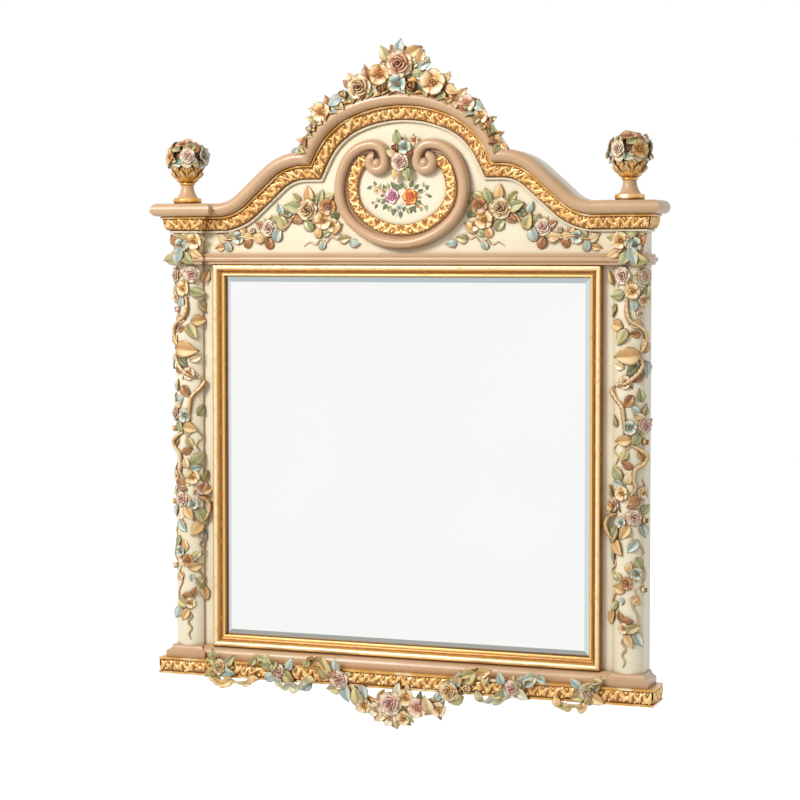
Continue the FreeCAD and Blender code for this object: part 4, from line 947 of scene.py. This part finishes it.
# Fronds between its flowers: two paints, then places across and up
FRONDS = courses("""
    gold olive: -464 6, -446 -14, -428 -18, -410 -8, -392 -13, -370 -14, -350 -2
    green olive: -357 46, -335 60, -313 53, -298 32
    olive blue: -292 6, -279 -18, -262 -10, -244 -18, -224 -2, -206 8
    brown olive: -222 52, -205 64, -184 58, -168 38, -150 26
    green olive: -462 52, -452 40, -442 28
    olive gold: 150 30, 162 47, 182 59, 200 55, 218 38
    olive blue: 262 8, 250 -14, 234 -10, 214 -16, 196 -2
    blue green: 290 30, 306 50, 328 60, 350 48
    gold olive: 456 8, 440 -14, 420 -10, 398 -15, 378 -2
    olive green: 448 28, 458 48, 476 58
""")
frond_width = 23.0
frond_out = 6.0
frond_roll = 62.0
frond_rolls = 1.2        # times that it rolls to and fro
frond_step = 2.0
scallop_steps = 7
frond_leaf = 30.0        # small leaf at each end
frond_leaf_turn = 30.0
frond_leaf_back = 4.0
frond_lift = 4.0
frond_lowering = 0.2     # share by which those above the bar's lower edge are drawn towards it
garland_out = base_out + 1.0


def frond(mould, colours, knots):
    """Curled leaf along (x, z) knots in front of the base bar: scalloped, folded and rolling from side
    to side, going from the first colour to the second, with gilded edges. One half is painted lit,
    the other in painted shade, and painted shade darkens the fold."""
    line = smooth_path([(x, -base_out - frond_out, z) for x, z in knots], frond_step)
    last = len(line) - 1
    scallops = max(3, round(last / scallop_steps))
    phase = rng.uniform(0, 2 * pi)
    steps_across = 8

    def cell(i, j):
        s = i / last
        t = -1 + j / (steps_across / 2)
        ahead = (line[min(i + 1, last)] - line[max(i - 1, 0)]).normalized()
        side = FRONT.cross(ahead)
        roll = radians(frond_roll) * sin(2 * pi * frond_rolls * s + phase)
        across = side * cos(roll) + FRONT * sin(roll)
        out = FRONT * cos(roll) - side * sin(roll)
        scallop = cos(2 * pi * scallops * s)
        half = frond_width / 2 * (0.1 + 0.95 * sin(pi * (0.06 + 0.9 * s) ** 0.8) ** 0.7)
        half *= 1 + 0.13 * scallop
        lift = half * (0.34 * abs(t) ** 1.4 - 0.16 * t ** 4) + 0.4 * scallop * abs(t)
        shaded, lit = (blended(*tones, s) for tones in zip(LEAVES[colours[0]], LEAVES[colours[1]]))
        # Painted light: one half lit and the other shaded, and painted shade along the fold
        tone = blended(shaded, lit, 0.35 + 0.45 * abs(t) if t >= 0 else 0.85 + 0.15 * abs(t))
        tone = blended(tone, shaded, 0.75 * dip(t, 0.16))
        rim = abs(t) > 0.99 or i in (0, last)
        tint = (*blended(tone, GILT_EDGE, 0.6), 0.6) if rim else (*tone, 0.0)
        return line[i] + across * (half * t) + out * lift, tint

    mould.add(*sheet(last + 1, steps_across + 1, cell, leaf_thickness))
    for end, before, turn in ((0, 3, frond_leaf_turn), (last, last - 3, -frond_leaf_turn)):
        run = line[end] - line[before]
        angle = degrees(atan2(run.z, run.x)) + turn
        spot = line[end] - run.normalized() * frond_leaf_back
        place = facing((spot.x, base_out + frond_out, spot.z), angle, 0, turn)
        leaf(mould, frond_leaf, colours[end == 0], place)


def garlands():
    mould = Mould()
    for kind, across, up, size, angle, paint_name in GARLAND:
        carve(mould, kind, size, paint_name, facing((across, garland_out, up), angle))
    for colours, knots in FRONDS:
        frond(mould, colours, [(x, z + frond_lift - frond_lowering * max(0, z)) for x, z in knots])
    mould.piece("garland_carving", *CARVING, "garland")


# Arch of the cornice: its gold line runs from the crown over the shoulders to the notches.

def heading(angle):
    return Vector((cos(radians(angle)), 0, sin(radians(angle))))


crown_centre = Vector((0, 0, z_gold + crown_rise - crown_radius))
shoulder_turn = crown_angle + shoulder_angle
shoulder_centre = crown_centre + heading(90 - crown_angle) * (crown_radius - shoulder_radius)
shoulder_end = shoulder_centre + heading(90 - shoulder_turn) * shoulder_radius
crown_arc = crown_radius * radians(crown_angle)
shoulder_arc = shoulder_radius * radians(shoulder_angle)
skirt_run = (shoulder_end.z - (z_gold + ogee_rise)) / sin(radians(shoulder_turn))
notch_point = shoulder_end + heading(-shoulder_turn) * skirt_run


def on_arch(along, lift):
    """Point at a length along the gold line from the crown and a distance out from it."""
    reach = abs(along)
    if reach < crown_arc:
        turn = degrees(reach / crown_radius)
        point = crown_centre + heading(90 - turn) * (crown_radius + lift)
    elif reach < crown_arc + shoulder_arc:
        turn = crown_angle + degrees((reach - crown_arc) / shoulder_radius)
        point = shoulder_centre + heading(90 - turn) * (shoulder_radius + lift)
    else:
        skirt = reach - crown_arc - shoulder_arc
        point = shoulder_end + heading(90 - shoulder_turn) * lift + heading(-shoulder_turn) * skirt
    return Vector((copysign(point.x, along), 0, point.z))


# Crest: along the gold line from the crown, and out from it
CREST = carvings("""
    rose: 2 94 28 0 dusky
    blossom: -36 74 21 10 orange, -2 50 19 0 blue, 70 61 26 15 yellow
    rose: -80 56 25 0 mocha
    blossom: -168 48 20 10 yellow, 146 44 17 0 rosy, 182 40 15 30 yellow
    bud: -37 42 11 0 brown, 28 46 12 0 brown, -116 55 11 0 cream, -206 42 8 0 white, -264 34 8 0 yellow
    bud: 50 108 7 0 white
    leaf: 2 131 36 90 blue, -24 120 36 128 olive, 26 122 40 40 gold, 40 110 34 62 gold, 46 94 32 20 blue
    leaf: 36 76 26 -10 green, 92 78 28 70 gold, 44 66 22 160 blue, -62 86 32 118 brown
    leaf: -136 50 36 200 blue, -54 36 28 -100 green, -104 36 28 240 green, -142 32 28 -40 green
    leaf: -186 36 28 -70 green, -226 32 30 225 brown, -244 36 22 -120 green, -262 46 24 -120 blue
    leaf: 110 56 32 -25 gold, 130 58 28 58 gold, 56 30 24 200 cream, 96 36 26 -70 green
    leaf: 168 54 32 -25 blue, 156 36 26 250 green, 202 44 26 -60 brown, 212 40 26 -50 green
    leaf: 236 38 26 -60 gold, 252 38 24 -75 green, 256 46 24 -45 gold, 266 42 22 -80 white
""")
# Darker leaves that fill the crest behind its flowers; their dark paint is also painted shade in the gaps
# between them
CREST_FILL = carvings("""
    leaf: -18 68 30 200 dark, 20 70 30 -20 dark, -58 62 32 150 dark, -22 100 32 170 brown
    leaf: 28 94 32 10 olive, -102 74 30 140 brown, -106 48 28 200 dark, 46 46 28 -60 dark
    leaf: 100 60 30 20 brown, 94 46 28 -30 dark, 122 46 28 60 brown, -148 62 28 110 brown
    leaf: -150 44 28 -20 dark, -190 54 26 150 olive, -198 42 24 210 brown, 164 46 26 10 dark
    leaf: 200 54 24 30 olive, -48 50 28 210 brown, 14 44 26 -80 dark, -22 44 26 260 brown
    leaf: 10 120 30 70 brown, -10 114 30 115 olive, -232 46 22 150 gold, 228 48 22 20 brown
""")
SKIRT_PAINT = ["olive", "brown", "green", "gold", "cream", "brown", "blue", "olive", "gold"]
skirt_reach = 250.0      # along the gold line, each way from the crown
skirt_pitch = 17.0
torus_out = carcass_out + torus_proud


def crest_skirt(mould):
    """Small leaves that hang from the crest over the rounded top of the cornice."""
    count = round(2 * skirt_reach / skirt_pitch)
    for i in range(count + 1):
        along = -skirt_reach + 2 * skirt_reach * i / count
        roll = rng.uniform(42, 66)
        lift = gold_radius + torus_width / 2 * (1 + sin(radians(roll)))
        out = torus_out - torus_width / 2 * (1 - cos(radians(roll))) - seat
        spot = on_arch(along, lift)
        radial = spot - on_arch(along, 0)
        place = (shift(spot.x, -out, spot.z) @ spin(degrees(atan2(radial.x, radial.z)), "Y")
                 @ spin(90 - roll, "X") @ spin(rng.uniform(-150, -30)))
        leaf(mould, rng.uniform(24, 31), SKIRT_PAINT[i % len(SKIRT_PAINT)], place)


def crests():
    mould = Mould()
    crest_skirt(mould)
    for kind, along, lift, size, angle, paint_name in CREST:
        spot = on_arch(along, lift)
        out = crest_out + rng.uniform(0, 4)
        carve(mould, kind, size, paint_name, facing((spot.x, out, spot.z), angle))
    for kind, along, lift, size, angle, paint_name in CREST_FILL:
        spot = on_arch(along, lift)
        leaf(mould, size, paint_name, facing((spot.x, crest_out - seat, spot.z), angle))
    mould.piece("crest_carving", *CARVING, "crest")


# Knot between the volutes of the cartouche: across, and up from the centre of the volutes
KNOT = carvings("""
    rose: 0 0 18 0 pink
    blossom: 11 33 14 20 blue, 34 48 9 0 peach
    bud: -11 32 9 0 brown, 24 19 7 0 brown
    leaf: -6 55 30 110 green, -20 20 26 150 cream, -12 -27 26 -110 gold, 18 -28 28 -70 green
""")
volute_z = 1200.0
knot_out = plaque_out + 15.4
stalk_share = 0.3        # of a flower's radius


def knots_of_flowers():
    mould = Mould()
    for kind, across, up, size, angle, paint_name in KNOT:
        carve(mould, kind, size, paint_name, facing((across, knot_out, volute_z + up), angle))
        stalk = [(across, -out, volute_z + up) for out in (carcass_out, knot_out)]
        tube(mould, smooth_path(stalk), size * stalk_share, STEM_SHADE_AND_HIGHLIGHT)
    mould.piece("knot_carving", *CARVING, "knot")


# Painted bouquet: across and up from the middle of the field, as thin as paint
PAINTED = carvings("""
    rose: -25 4 18 0 mauve, 19 2 19 30 flame
    blossom: -62 17 9 0 cream, -7 -22 8 20 blue
    bud: -72 -10 5 0 mauve, 58 8 4 0 peach
    leaf: -22 30 18 120 dark, -4 28 17 60 dark, 22 32 18 75 dark, -44 24 16 115 dark, -42 -20 17 235 dark
    leaf: -22 -32 18 255 dark, -4 -38 17 270 dark, 14 -30 15 285 green, 28 -26 18 300 dark
    leaf: 42 -10 14 330 dark, 44 16 15 30 dark, 60 24 13 70 dark, 58 -22 14 300 green, 46 -26 12 250 green
    leaf: -66 34 12 100 dark, -80 24 13 200 dark, -58 -4 14 140 green, -48 6 12 200 dark
    leaf: -34 28 15 100 green, -12 24 16 95 dark, 6 26 16 110 green, 34 26 16 50 dark, -46 -8 15 215 dark
    leaf: -32 -24 16 245 green, -14 -26 14 235 dark, 4 -24 15 255 dark, 20 -28 16 262 dark
    leaf: 36 -18 15 320 dark, 40 2 14 5 green, -54 28 13 60 green, 52 30 13 110 green, 66 4 12 340 dark
    leaf: -64 -18 12 250 dark
    blossom: -44 15 7 0 peach, 2 -14 7 0 white
    bud: 40 -20 4 0 flame
""")
PAINTED_STEMS = courses("""
    0.7 dark: -40 12, -54 22, -80 30
    0.7 dark: 36 8, 50 12, 68 30
    0.7 dark: 34 -8, 50 -16, 62 -34
    0.7 dark: -40 0, -56 -4, -74 -12
    0.7 dark: -10 -14, -10 -30, -16 -44
""")
# Dabs of a painted rose: share of its radius, place across and up, and which of its three paints
DABS = [(1.0, 0, 0, 1), (0.5, -0.42, 0.3, 2), (0.5, 0.4, 0.32, 2), (0.48, 0.05, -0.5, 2),
        (0.62, 0.02, 0.06, 1), (0.44, 0.04, 0.12, 0), (0.3, -0.02, 0.1, 1), (0.17, 0.0, 0.12, 0)]
field_z = 1118.0
paint_relief = 0.045     # share of a carving's depth


def painted_rose(mould, radius, colour, place):
    """Rose of brush strokes: lobed dabs of paint, each smaller and a little to one side."""
    for level, (share, across, up, tone) in enumerate(DABS):
        points, faces, tints = ball(radius * share, 0.02, (*PETALS[colour][tone], 0.0), 4, 30)
        for point in points:
            swell = 1 + 0.09 * cos(5 * atan2(point.y, point.x) + 2 * level)
            point.x *= swell
            point.y *= swell
        mould.add(points, faces, tints, place @ shift(across * radius, up * radius, 0.16 * level))


def painted_field():
    mould = Mould()
    thin = Matrix.Diagonal((1, 1, paint_relief, 1))
    for kind, across, up, size, angle, paint_name in PAINTED:
        place = facing((across, plaque_out, field_z + up), angle)
        if kind == "rose":
            painted_rose(mould, size, paint_name, place)
        else:
            CARVERS[kind](mould, size, paint_name, place @ thin)
    for (thickness, paint_name), knots in PAINTED_STEMS:
        line = [(across, -plaque_out, field_z + up) for across, up in knots]
        tube(mould, smooth_path(line), float(thickness), LEAVES[paint_name], 6)
    mould.tints = [(*tint[:3], 0.0) for tint in mould.tints]
    mould.piece("painted_bouquet", field_paint, "polychrome")


# Bouquet on each finial: turn round the axis from the front, and tilt above level
BOUQUET = carvings("""
    rose: -25 8 14 0 rosy, 155 8 14 0 rosy
    blossom: 45 6 16 0 gold, 225 6 16 0 yellow, -90 8 17 20 blue, 110 8 17 0 blue, 10 60 14 0 dusky
    rose: 130 64 13 0 dusky
    blossom: 250 60 14 0 cream
    leaf: 66 40 34 60 brown, -58 42 34 120 brown, 190 40 30 90 green, -36 36 30 150 olive
    leaf: 30 34 30 20 green
    bud: 78 34 8 0 white
""")
RIM_PAINT = ["blue", "cream", "blue", "yellow", "white"]
bouquet_radius = 33.0
bouquet_bulge = 8.0      # further reach of the flowers at its girth
bouquet_spread = 1.1
bouquet_up = 105.0       # above the cornice
bouquet_out = block_out - 6.0
core_radius = bouquet_radius + 3.0
rim_petals = 10
rim_reach = 35.0
rim_up = 2.0
rim_start = 10.0
rim_lean = degrees(0.12)
rim_swing = degrees(0.4)
# Gilt petals of the cup, a tier each: length, width, reach from the axis, height, lean and first turn
CUP_TIERS = [(33, 19, 16, -55, degrees(0.6), 0.0), (30, 17, 26, -42, degrees(0.3), 0.5)]
cup_petals = 8


def bouquets():
    mould = Mould()
    centre = shift(block_x, -bouquet_out, z_cornice + bouquet_up)
    mould.add(*ball(core_radius, 0.85, (*PETALS["gilt"][0], 0.0), 12, 20), centre)
    for kind, turn, tilt, size, angle, paint_name in BOUQUET:
        reach = bouquet_radius - seat + bouquet_bulge * cos(radians(tilt))
        place = centre @ spin(turn) @ spin(-tilt, "X") @ shift(0, -reach, 0) @ spin(90, "X") @ spin(angle)
        carve(mould, kind, size * bouquet_spread, paint_name, place)
    for i in range(rim_petals):
        place = (centre @ spin(360 / rim_petals * i + rim_start) @ shift(0, -rim_reach, rim_up)
                 @ spin(90 - rim_lean, "X") @ spin(-90 + rng.uniform(-rim_swing, rim_swing)))
        paint_set = PETALS[RIM_PAINT[i % len(RIM_PAINT)]]
        mould.add(*petal(rng.uniform(23, 28), 27, 0.3, 0.34, 0.08, paint_set, 0.05), place)
    for length, width, reach, height, lean, start in CUP_TIERS:
        for i in range(cup_petals):
            place = (centre @ spin(360 / cup_petals * (i + start)) @ shift(0, -reach, height)
                     @ spin(90 + lean, "X") @ spin(90))
            mould.add(*petal(length, width, 0.16, 0.08, 0.16, PETALS["gilt"]), place)
    mould.pair("bouquet", CARVING, ("right", "left"), "finial_bouquet")


# Leaf relief: one period of the running motif, as blades (start, end, width, bend) and berries
BLADES = [((0.02, 0.02), (0.56, 0.9), 0.2, 0.24), ((0.5, 1.0), (1.02, 0.16), 0.18, -0.2),
          ((0.62, 0.02), (1.0, 0.44), 0.12, 0.12), ((0.0, 1.0), (0.34, 0.58), 0.12, -0.1)]
BERRIES = [((0.12, 0.5), 0.1), ((0.78, 0.78), 0.1), ((0.44, 0.14), 0.11)]
# Colour of the relief by its height: dark umber on the ground and pale gold on the tops, partly the toning
# of the gilding and partly painted shade in the ground and a painted highlight on the tops
RELIEF_SHADE_AND_HIGHLIGHT = [(0.0, linear(126, 68, 20)), (0.14, linear(162, 98, 36)), (0.48, linear(232, 172, 88)),
                (0.82, linear(255, 232, 174)), (1.4, linear(255, 247, 220))]
relief_period = 27.0
relief_height = 5.0
relief_ground = 0.15
relief_thickness = 1.2
relief_columns = 18      # in a period
relief_rows = 14
wall_gap = 2.0           # relief on the ends stops short of the wall


def motif(p, v):
    """Height of the relief, 0 to 1, at a phase along the band and a share across it."""
    best = 0.0
    for repeat in (-1, 0, 1):
        for (x0, y0), (x1, y1), width, bend in BLADES:
            dx, dy = x1 - x0, y1 - y0
            length = hypot(dx, dy)
            px, py = p - x0 - repeat, v - y0
            t = (px * dx + py * dy) / length ** 2
            if 0 < t < 1:
                d = (py * dx - px * dy) / length - bend * 4 * t * (1 - t)
                half = width * sin(pi * t ** 0.75) ** 0.8
                if abs(d) < half:
                    dome = (1 - (d / half) ** 2) ** 0.6 * (0.5 + 0.5 * t)
                    best = max(best, dome - 0.14 * dip(d, 0.2 * half))
        for (x, y), radius in BERRIES:
            gap = hypot(p - x - repeat, v - y) / radius
            if gap < 1:
                best = max(best, 0.8 * sqrt(1 - gap * gap))
    return best


def painted_relief_light(height):
    for (low_place, first), (high_place, second) in zip(RELIEF_SHADE_AND_HIGHLIGHT, RELIEF_SHADE_AND_HIGHLIGHT[1:]):
        if height < high_place:
            return (*blended(first, second, (height - low_place) / (high_place - low_place)), 1.0)


def relief(mould, surface, length, rise=relief_height):
    """Band of carved leaves over a surface, which gives a point and its outward side for a share
    along and a share across."""
    periods = max(1, round(length / relief_period))
    columns = periods * relief_columns

    def cell(i, j):
        v = j / relief_rows
        along = periods * i / columns
        point, side = surface(i / columns, v)
        stir = noise_vector(Vector((along * 0.8, v * 1.4, length * 0.37)))
        height = motif((along + 0.4 * stir.x) % 1.0, clamped(v + 0.24 * stir.y))
        height = max(0.0, height) * (1 + 0.35 * stir.z)
        # Coloured by height: painted shade low, painted highlight high
        return point + side * (relief_ground + rise * height), painted_relief_light(height)

    mould.add(*sheet(columns + 1, relief_rows + 1, cell, relief_thickness))


# A path is a list of legs: lengths, and bends as (radius, clockwise angle).

def leg_length(leg):
    return leg[0] * radians(abs(leg[1])) if isinstance(leg, tuple) else leg


def path_length(legs):
    return sum(leg_length(leg) for leg in legs)


def walk(start, angle, legs, along):
    """Point and heading at a length along a path, whose last leg runs on."""
    here = start
    for number, leg in enumerate(legs):
        final = number == len(legs) - 1
        length = leg_length(leg)
        step = along if final else min(along, length)
        if isinstance(leg, tuple):
            radius, turn = leg
            part = copysign(degrees(step / radius), turn)
            centre = here - heading(angle + 90) * copysign(radius, turn)
            angle -= part
            here = centre + heading(angle + 90) * copysign(radius, turn)
        else:
            here = here + heading(angle) * step
        if along <= length or final:
            return here, angle
        along -= length


def cornice_out(share):
    return leaf_toe + (leaf_proud - leaf_toe) * share


def cornice_offset(share):
    return -gold_radius - leaf_width * (1 - share)


mitre_slope = tan(radians(shoulder_turn / 2))
ogee_reach = block_in - end_run - ogee_shelf - notch_point.x
ogee_turn = 2 * degrees(atan(ogee_rise / (ogee_reach + ogee_slope)))
ogee_radius = ((ogee_reach - ogee_slope * cos(radians(ogee_turn)))
               / sin(radians(ogee_turn)) / 2)
OGEE_LEGS = [ogee_shelf, (ogee_radius, ogee_turn), ogee_slope, (ogee_radius, -ogee_turn),
             end_run - leaf_proud]


def cornice_relief():
    half_arch = crown_arc + shoulder_arc + skirt_run

    def arch(u, v):
        offset = cornice_offset(v)
        along = (2 * u - 1) * (half_arch - offset * mitre_slope)
        return on_arch(along, offset) + FRONT * (carcass_out + cornice_out(v)), FRONT

    def ogee(u, v):
        offset = cornice_offset(v)
        begin = offset * mitre_slope
        spot, angle = walk(notch_point, 0, OGEE_LEGS, begin + u * (path_length(OGEE_LEGS) - begin))
        return spot + heading(angle + 90) * offset + FRONT * (carcass_out + cornice_out(v)), FRONT

    def front(u, v):
        over = cornice_out(v)
        x = block_in - over + u * (pilaster_width + 2 * over)
        return Vector((x, -block_out - over, z_gold + cornice_offset(v))), FRONT

    def outer(u, v):
        over = cornice_out(v)
        y = -wall_gap - (block_out + over - wall_gap) * (1 - u)
        return Vector((half_carcass + over, y, z_gold + cornice_offset(v))), Vector((1, 0, 0))

    def inner(u, v):
        over = cornice_out(v)
        y = -carcass_out - over - u * (block_out - carcass_out)
        return Vector((block_in - over, y, z_gold + cornice_offset(v))), Vector((-1, 0, 0))

    crown = Mould()
    relief(crown, arch, 2 * half_arch)
    crown.piece("cornice_relief_arch", *RELIEF)
    side = Mould()
    relief(side, ogee, path_length(OGEE_LEGS))
    relief(side, front, pilaster_width + 2 * leaf_proud)
    relief(side, outer, block_out)
    relief(side, inner, block_out - carcass_out)
    side.pair("cornice_relief", RELIEF, ("right", "left"))


def base_relief():
    rise = base_height - 2 * base_lip
    ground = base_out - base_sink
    half = half_base - base_sink

    def front(u, v):
        return Vector(((2 * u - 1) * half, -ground, base_lip + rise * v)), FRONT

    def end(u, v):
        y = -wall_gap - (ground - wall_gap) * (1 - u)
        return Vector((half, y, base_lip + rise * v)), Vector((1, 0, 0))

    bar = Mould()
    relief(bar, front, 2 * half_base)
    bar.piece("base_relief_front", *RELIEF)
    side = Mould()
    relief(side, end, ground)
    side.pair("base_relief", RELIEF, ("right", "left"))


# Leaf band of the cartouche: along the scroll as in the CAD model, from the foot of the ring to the left
ring_tube = 23.0
ring_fillet = 6.0
ring_leaf_width = 26.0
ring_leaf_proud = 7.0
ring_leaf_height = 4.0
ring_leaf_stretch = 0.85     # fewer, longer leaves than on the cornice
ring_leaf_gap = 0.4
ring_half_width = 162.0
ring_sill = 170.0
ring_foot = 12.0
ring_start = Vector((0, 0, z_frieze + ring_foot + ring_tube / 2))
ring_side = (ring_half_width - ring_tube / 2 - ring_sill * sqrt(0.5)) / (1 - sqrt(0.5))
RING_LEGS = [(ring_sill, 45), (ring_side, 45), (133.0, 30), (72.0, 38)]


def cartouche_relief():
    def band(u, v):
        spot, angle = walk(ring_start, 180, RING_LEGS, u * path_length(RING_LEGS) - ring_leaf_gap)
        offset = -ring_tube / 2 - ring_fillet - ring_leaf_width * (1 - v)
        return spot + heading(angle + 90) * offset + FRONT * (plaque_out + ring_leaf_proud), FRONT

    mould = Mould()
    relief(mould, band, path_length(RING_LEGS) * ring_leaf_stretch, ring_leaf_height)
    mould.pair("cartouche_relief", RELIEF, ("left", "right"))


# Camera and light

def camera():
    """Camera at the photograph's viewing angle: 20 degrees to the right of the front."""
    turn = radians(20.0)
    distance = 5014.0
    aim_out = 68.0
    eye_height = 989.4
    focal_pixels = 2206.0
    pixels = 800.0
    rise = -0.07
    horizon_row = 254.7
    data = bpy.data.cameras.new("camera")
    data.sensor_width = 36.0
    data.lens = focal_pixels / pixels * data.sensor_width
    data.shift_y = rise
    eye = bpy.data.objects.new("camera", data)
    bpy.context.scene.collection.objects.link(eye)
    eye.location = Vector((distance * sin(turn), -aim_out - distance * cos(turn), eye_height)) * MM
    tilt = atan((pixels / 2 - horizon_row + rise * pixels) / focal_pixels)
    eye.rotation_euler = (pi / 2 - tilt, 0, turn)
    bpy.context.scene.camera = eye
    bpy.context.scene.view_settings.view_transform = "Standard"


def lamp(name, place, size, watts):
    """Square soft lamp at a place in metres, turned towards the middle of the mirror."""
    data = bpy.data.lights.new(name, "AREA")
    data.size = size
    data.energy = watts
    made = bpy.data.objects.new(name, data)
    bpy.context.scene.collection.objects.link(made)
    made.location = place
    made.rotation_euler = (Vector((0, 0, 0.7)) - Vector(place)).to_track_quat("-Z", "Y").to_euler()


def surround():
    """White world where the camera, the glass and the gilding see it, and a softer light elsewhere."""
    world = Nodes(bpy.data.worlds.new("studio"))
    bpy.context.scene.world = world.owner
    rays = world.new("LightPath").outputs
    seen = world.compute("MAXIMUM", rays["Is Camera Ray"], rays["Is Glossy Ray"])
    seen = world.compute("MAXIMUM", seen, rays["Is Transmission Ray"])
    light = world.give(world.tree.nodes["Background"], color=WHITE, strength=0.45)
    backdrop = world.new("Background", color=WHITE, strength=1.0)
    either = world.new("MixShader")
    for socket, value in zip(either.inputs, (seen, light.outputs[0], backdrop.outputs[0])):
        world.feed(socket, value)
    world.give(world.tree.nodes["World Output"], surface=either.outputs[0])


# In metres
floor_drop = 0.9         # below the base bar
floor_reach = 14.0
floor_near = -1.8


def pale_floor():
    """Floor well below the hanging mirror."""
    corners = [(-floor_reach, floor_near), (floor_reach, floor_near), (floor_reach, floor_reach),
               (-floor_reach, floor_reach)]
    mesh = bpy.data.meshes.new("floor")
    mesh.from_pydata([(x, y, -floor_drop) for x, y in corners], [], [(0, 1, 2, 3)])
    floor = bpy.data.objects.new("floor", mesh)
    bpy.context.scene.collection.objects.link(floor)
    look = new_material("pale floor")
    rays = look.new("LightPath").outputs
    seen = look.compute("MAXIMUM", rays["Is Camera Ray"], rays["Is Glossy Ray"])
    mesh.materials.append(look.finish(base_color=(0.9, 0.9, 0.9), roughness=0.9, emission_color=WHITE,
                                      emission_strength=look.compute("MULTIPLY", seen, 0.62)))


dress_nodes()
vines()
sprays()
capitals()
garlands()
crests()
knots_of_flowers()
painted_field()
bouquets()
cornice_relief()
base_relief()
cartouche_relief()
camera()
surround()
lamp("key", (-1.6, -3.0, 2.8), 1.1, 116.0)
lamp("fill", (2.6, -3.0, 1.2), 2.2, 5.0)
pale_floor()
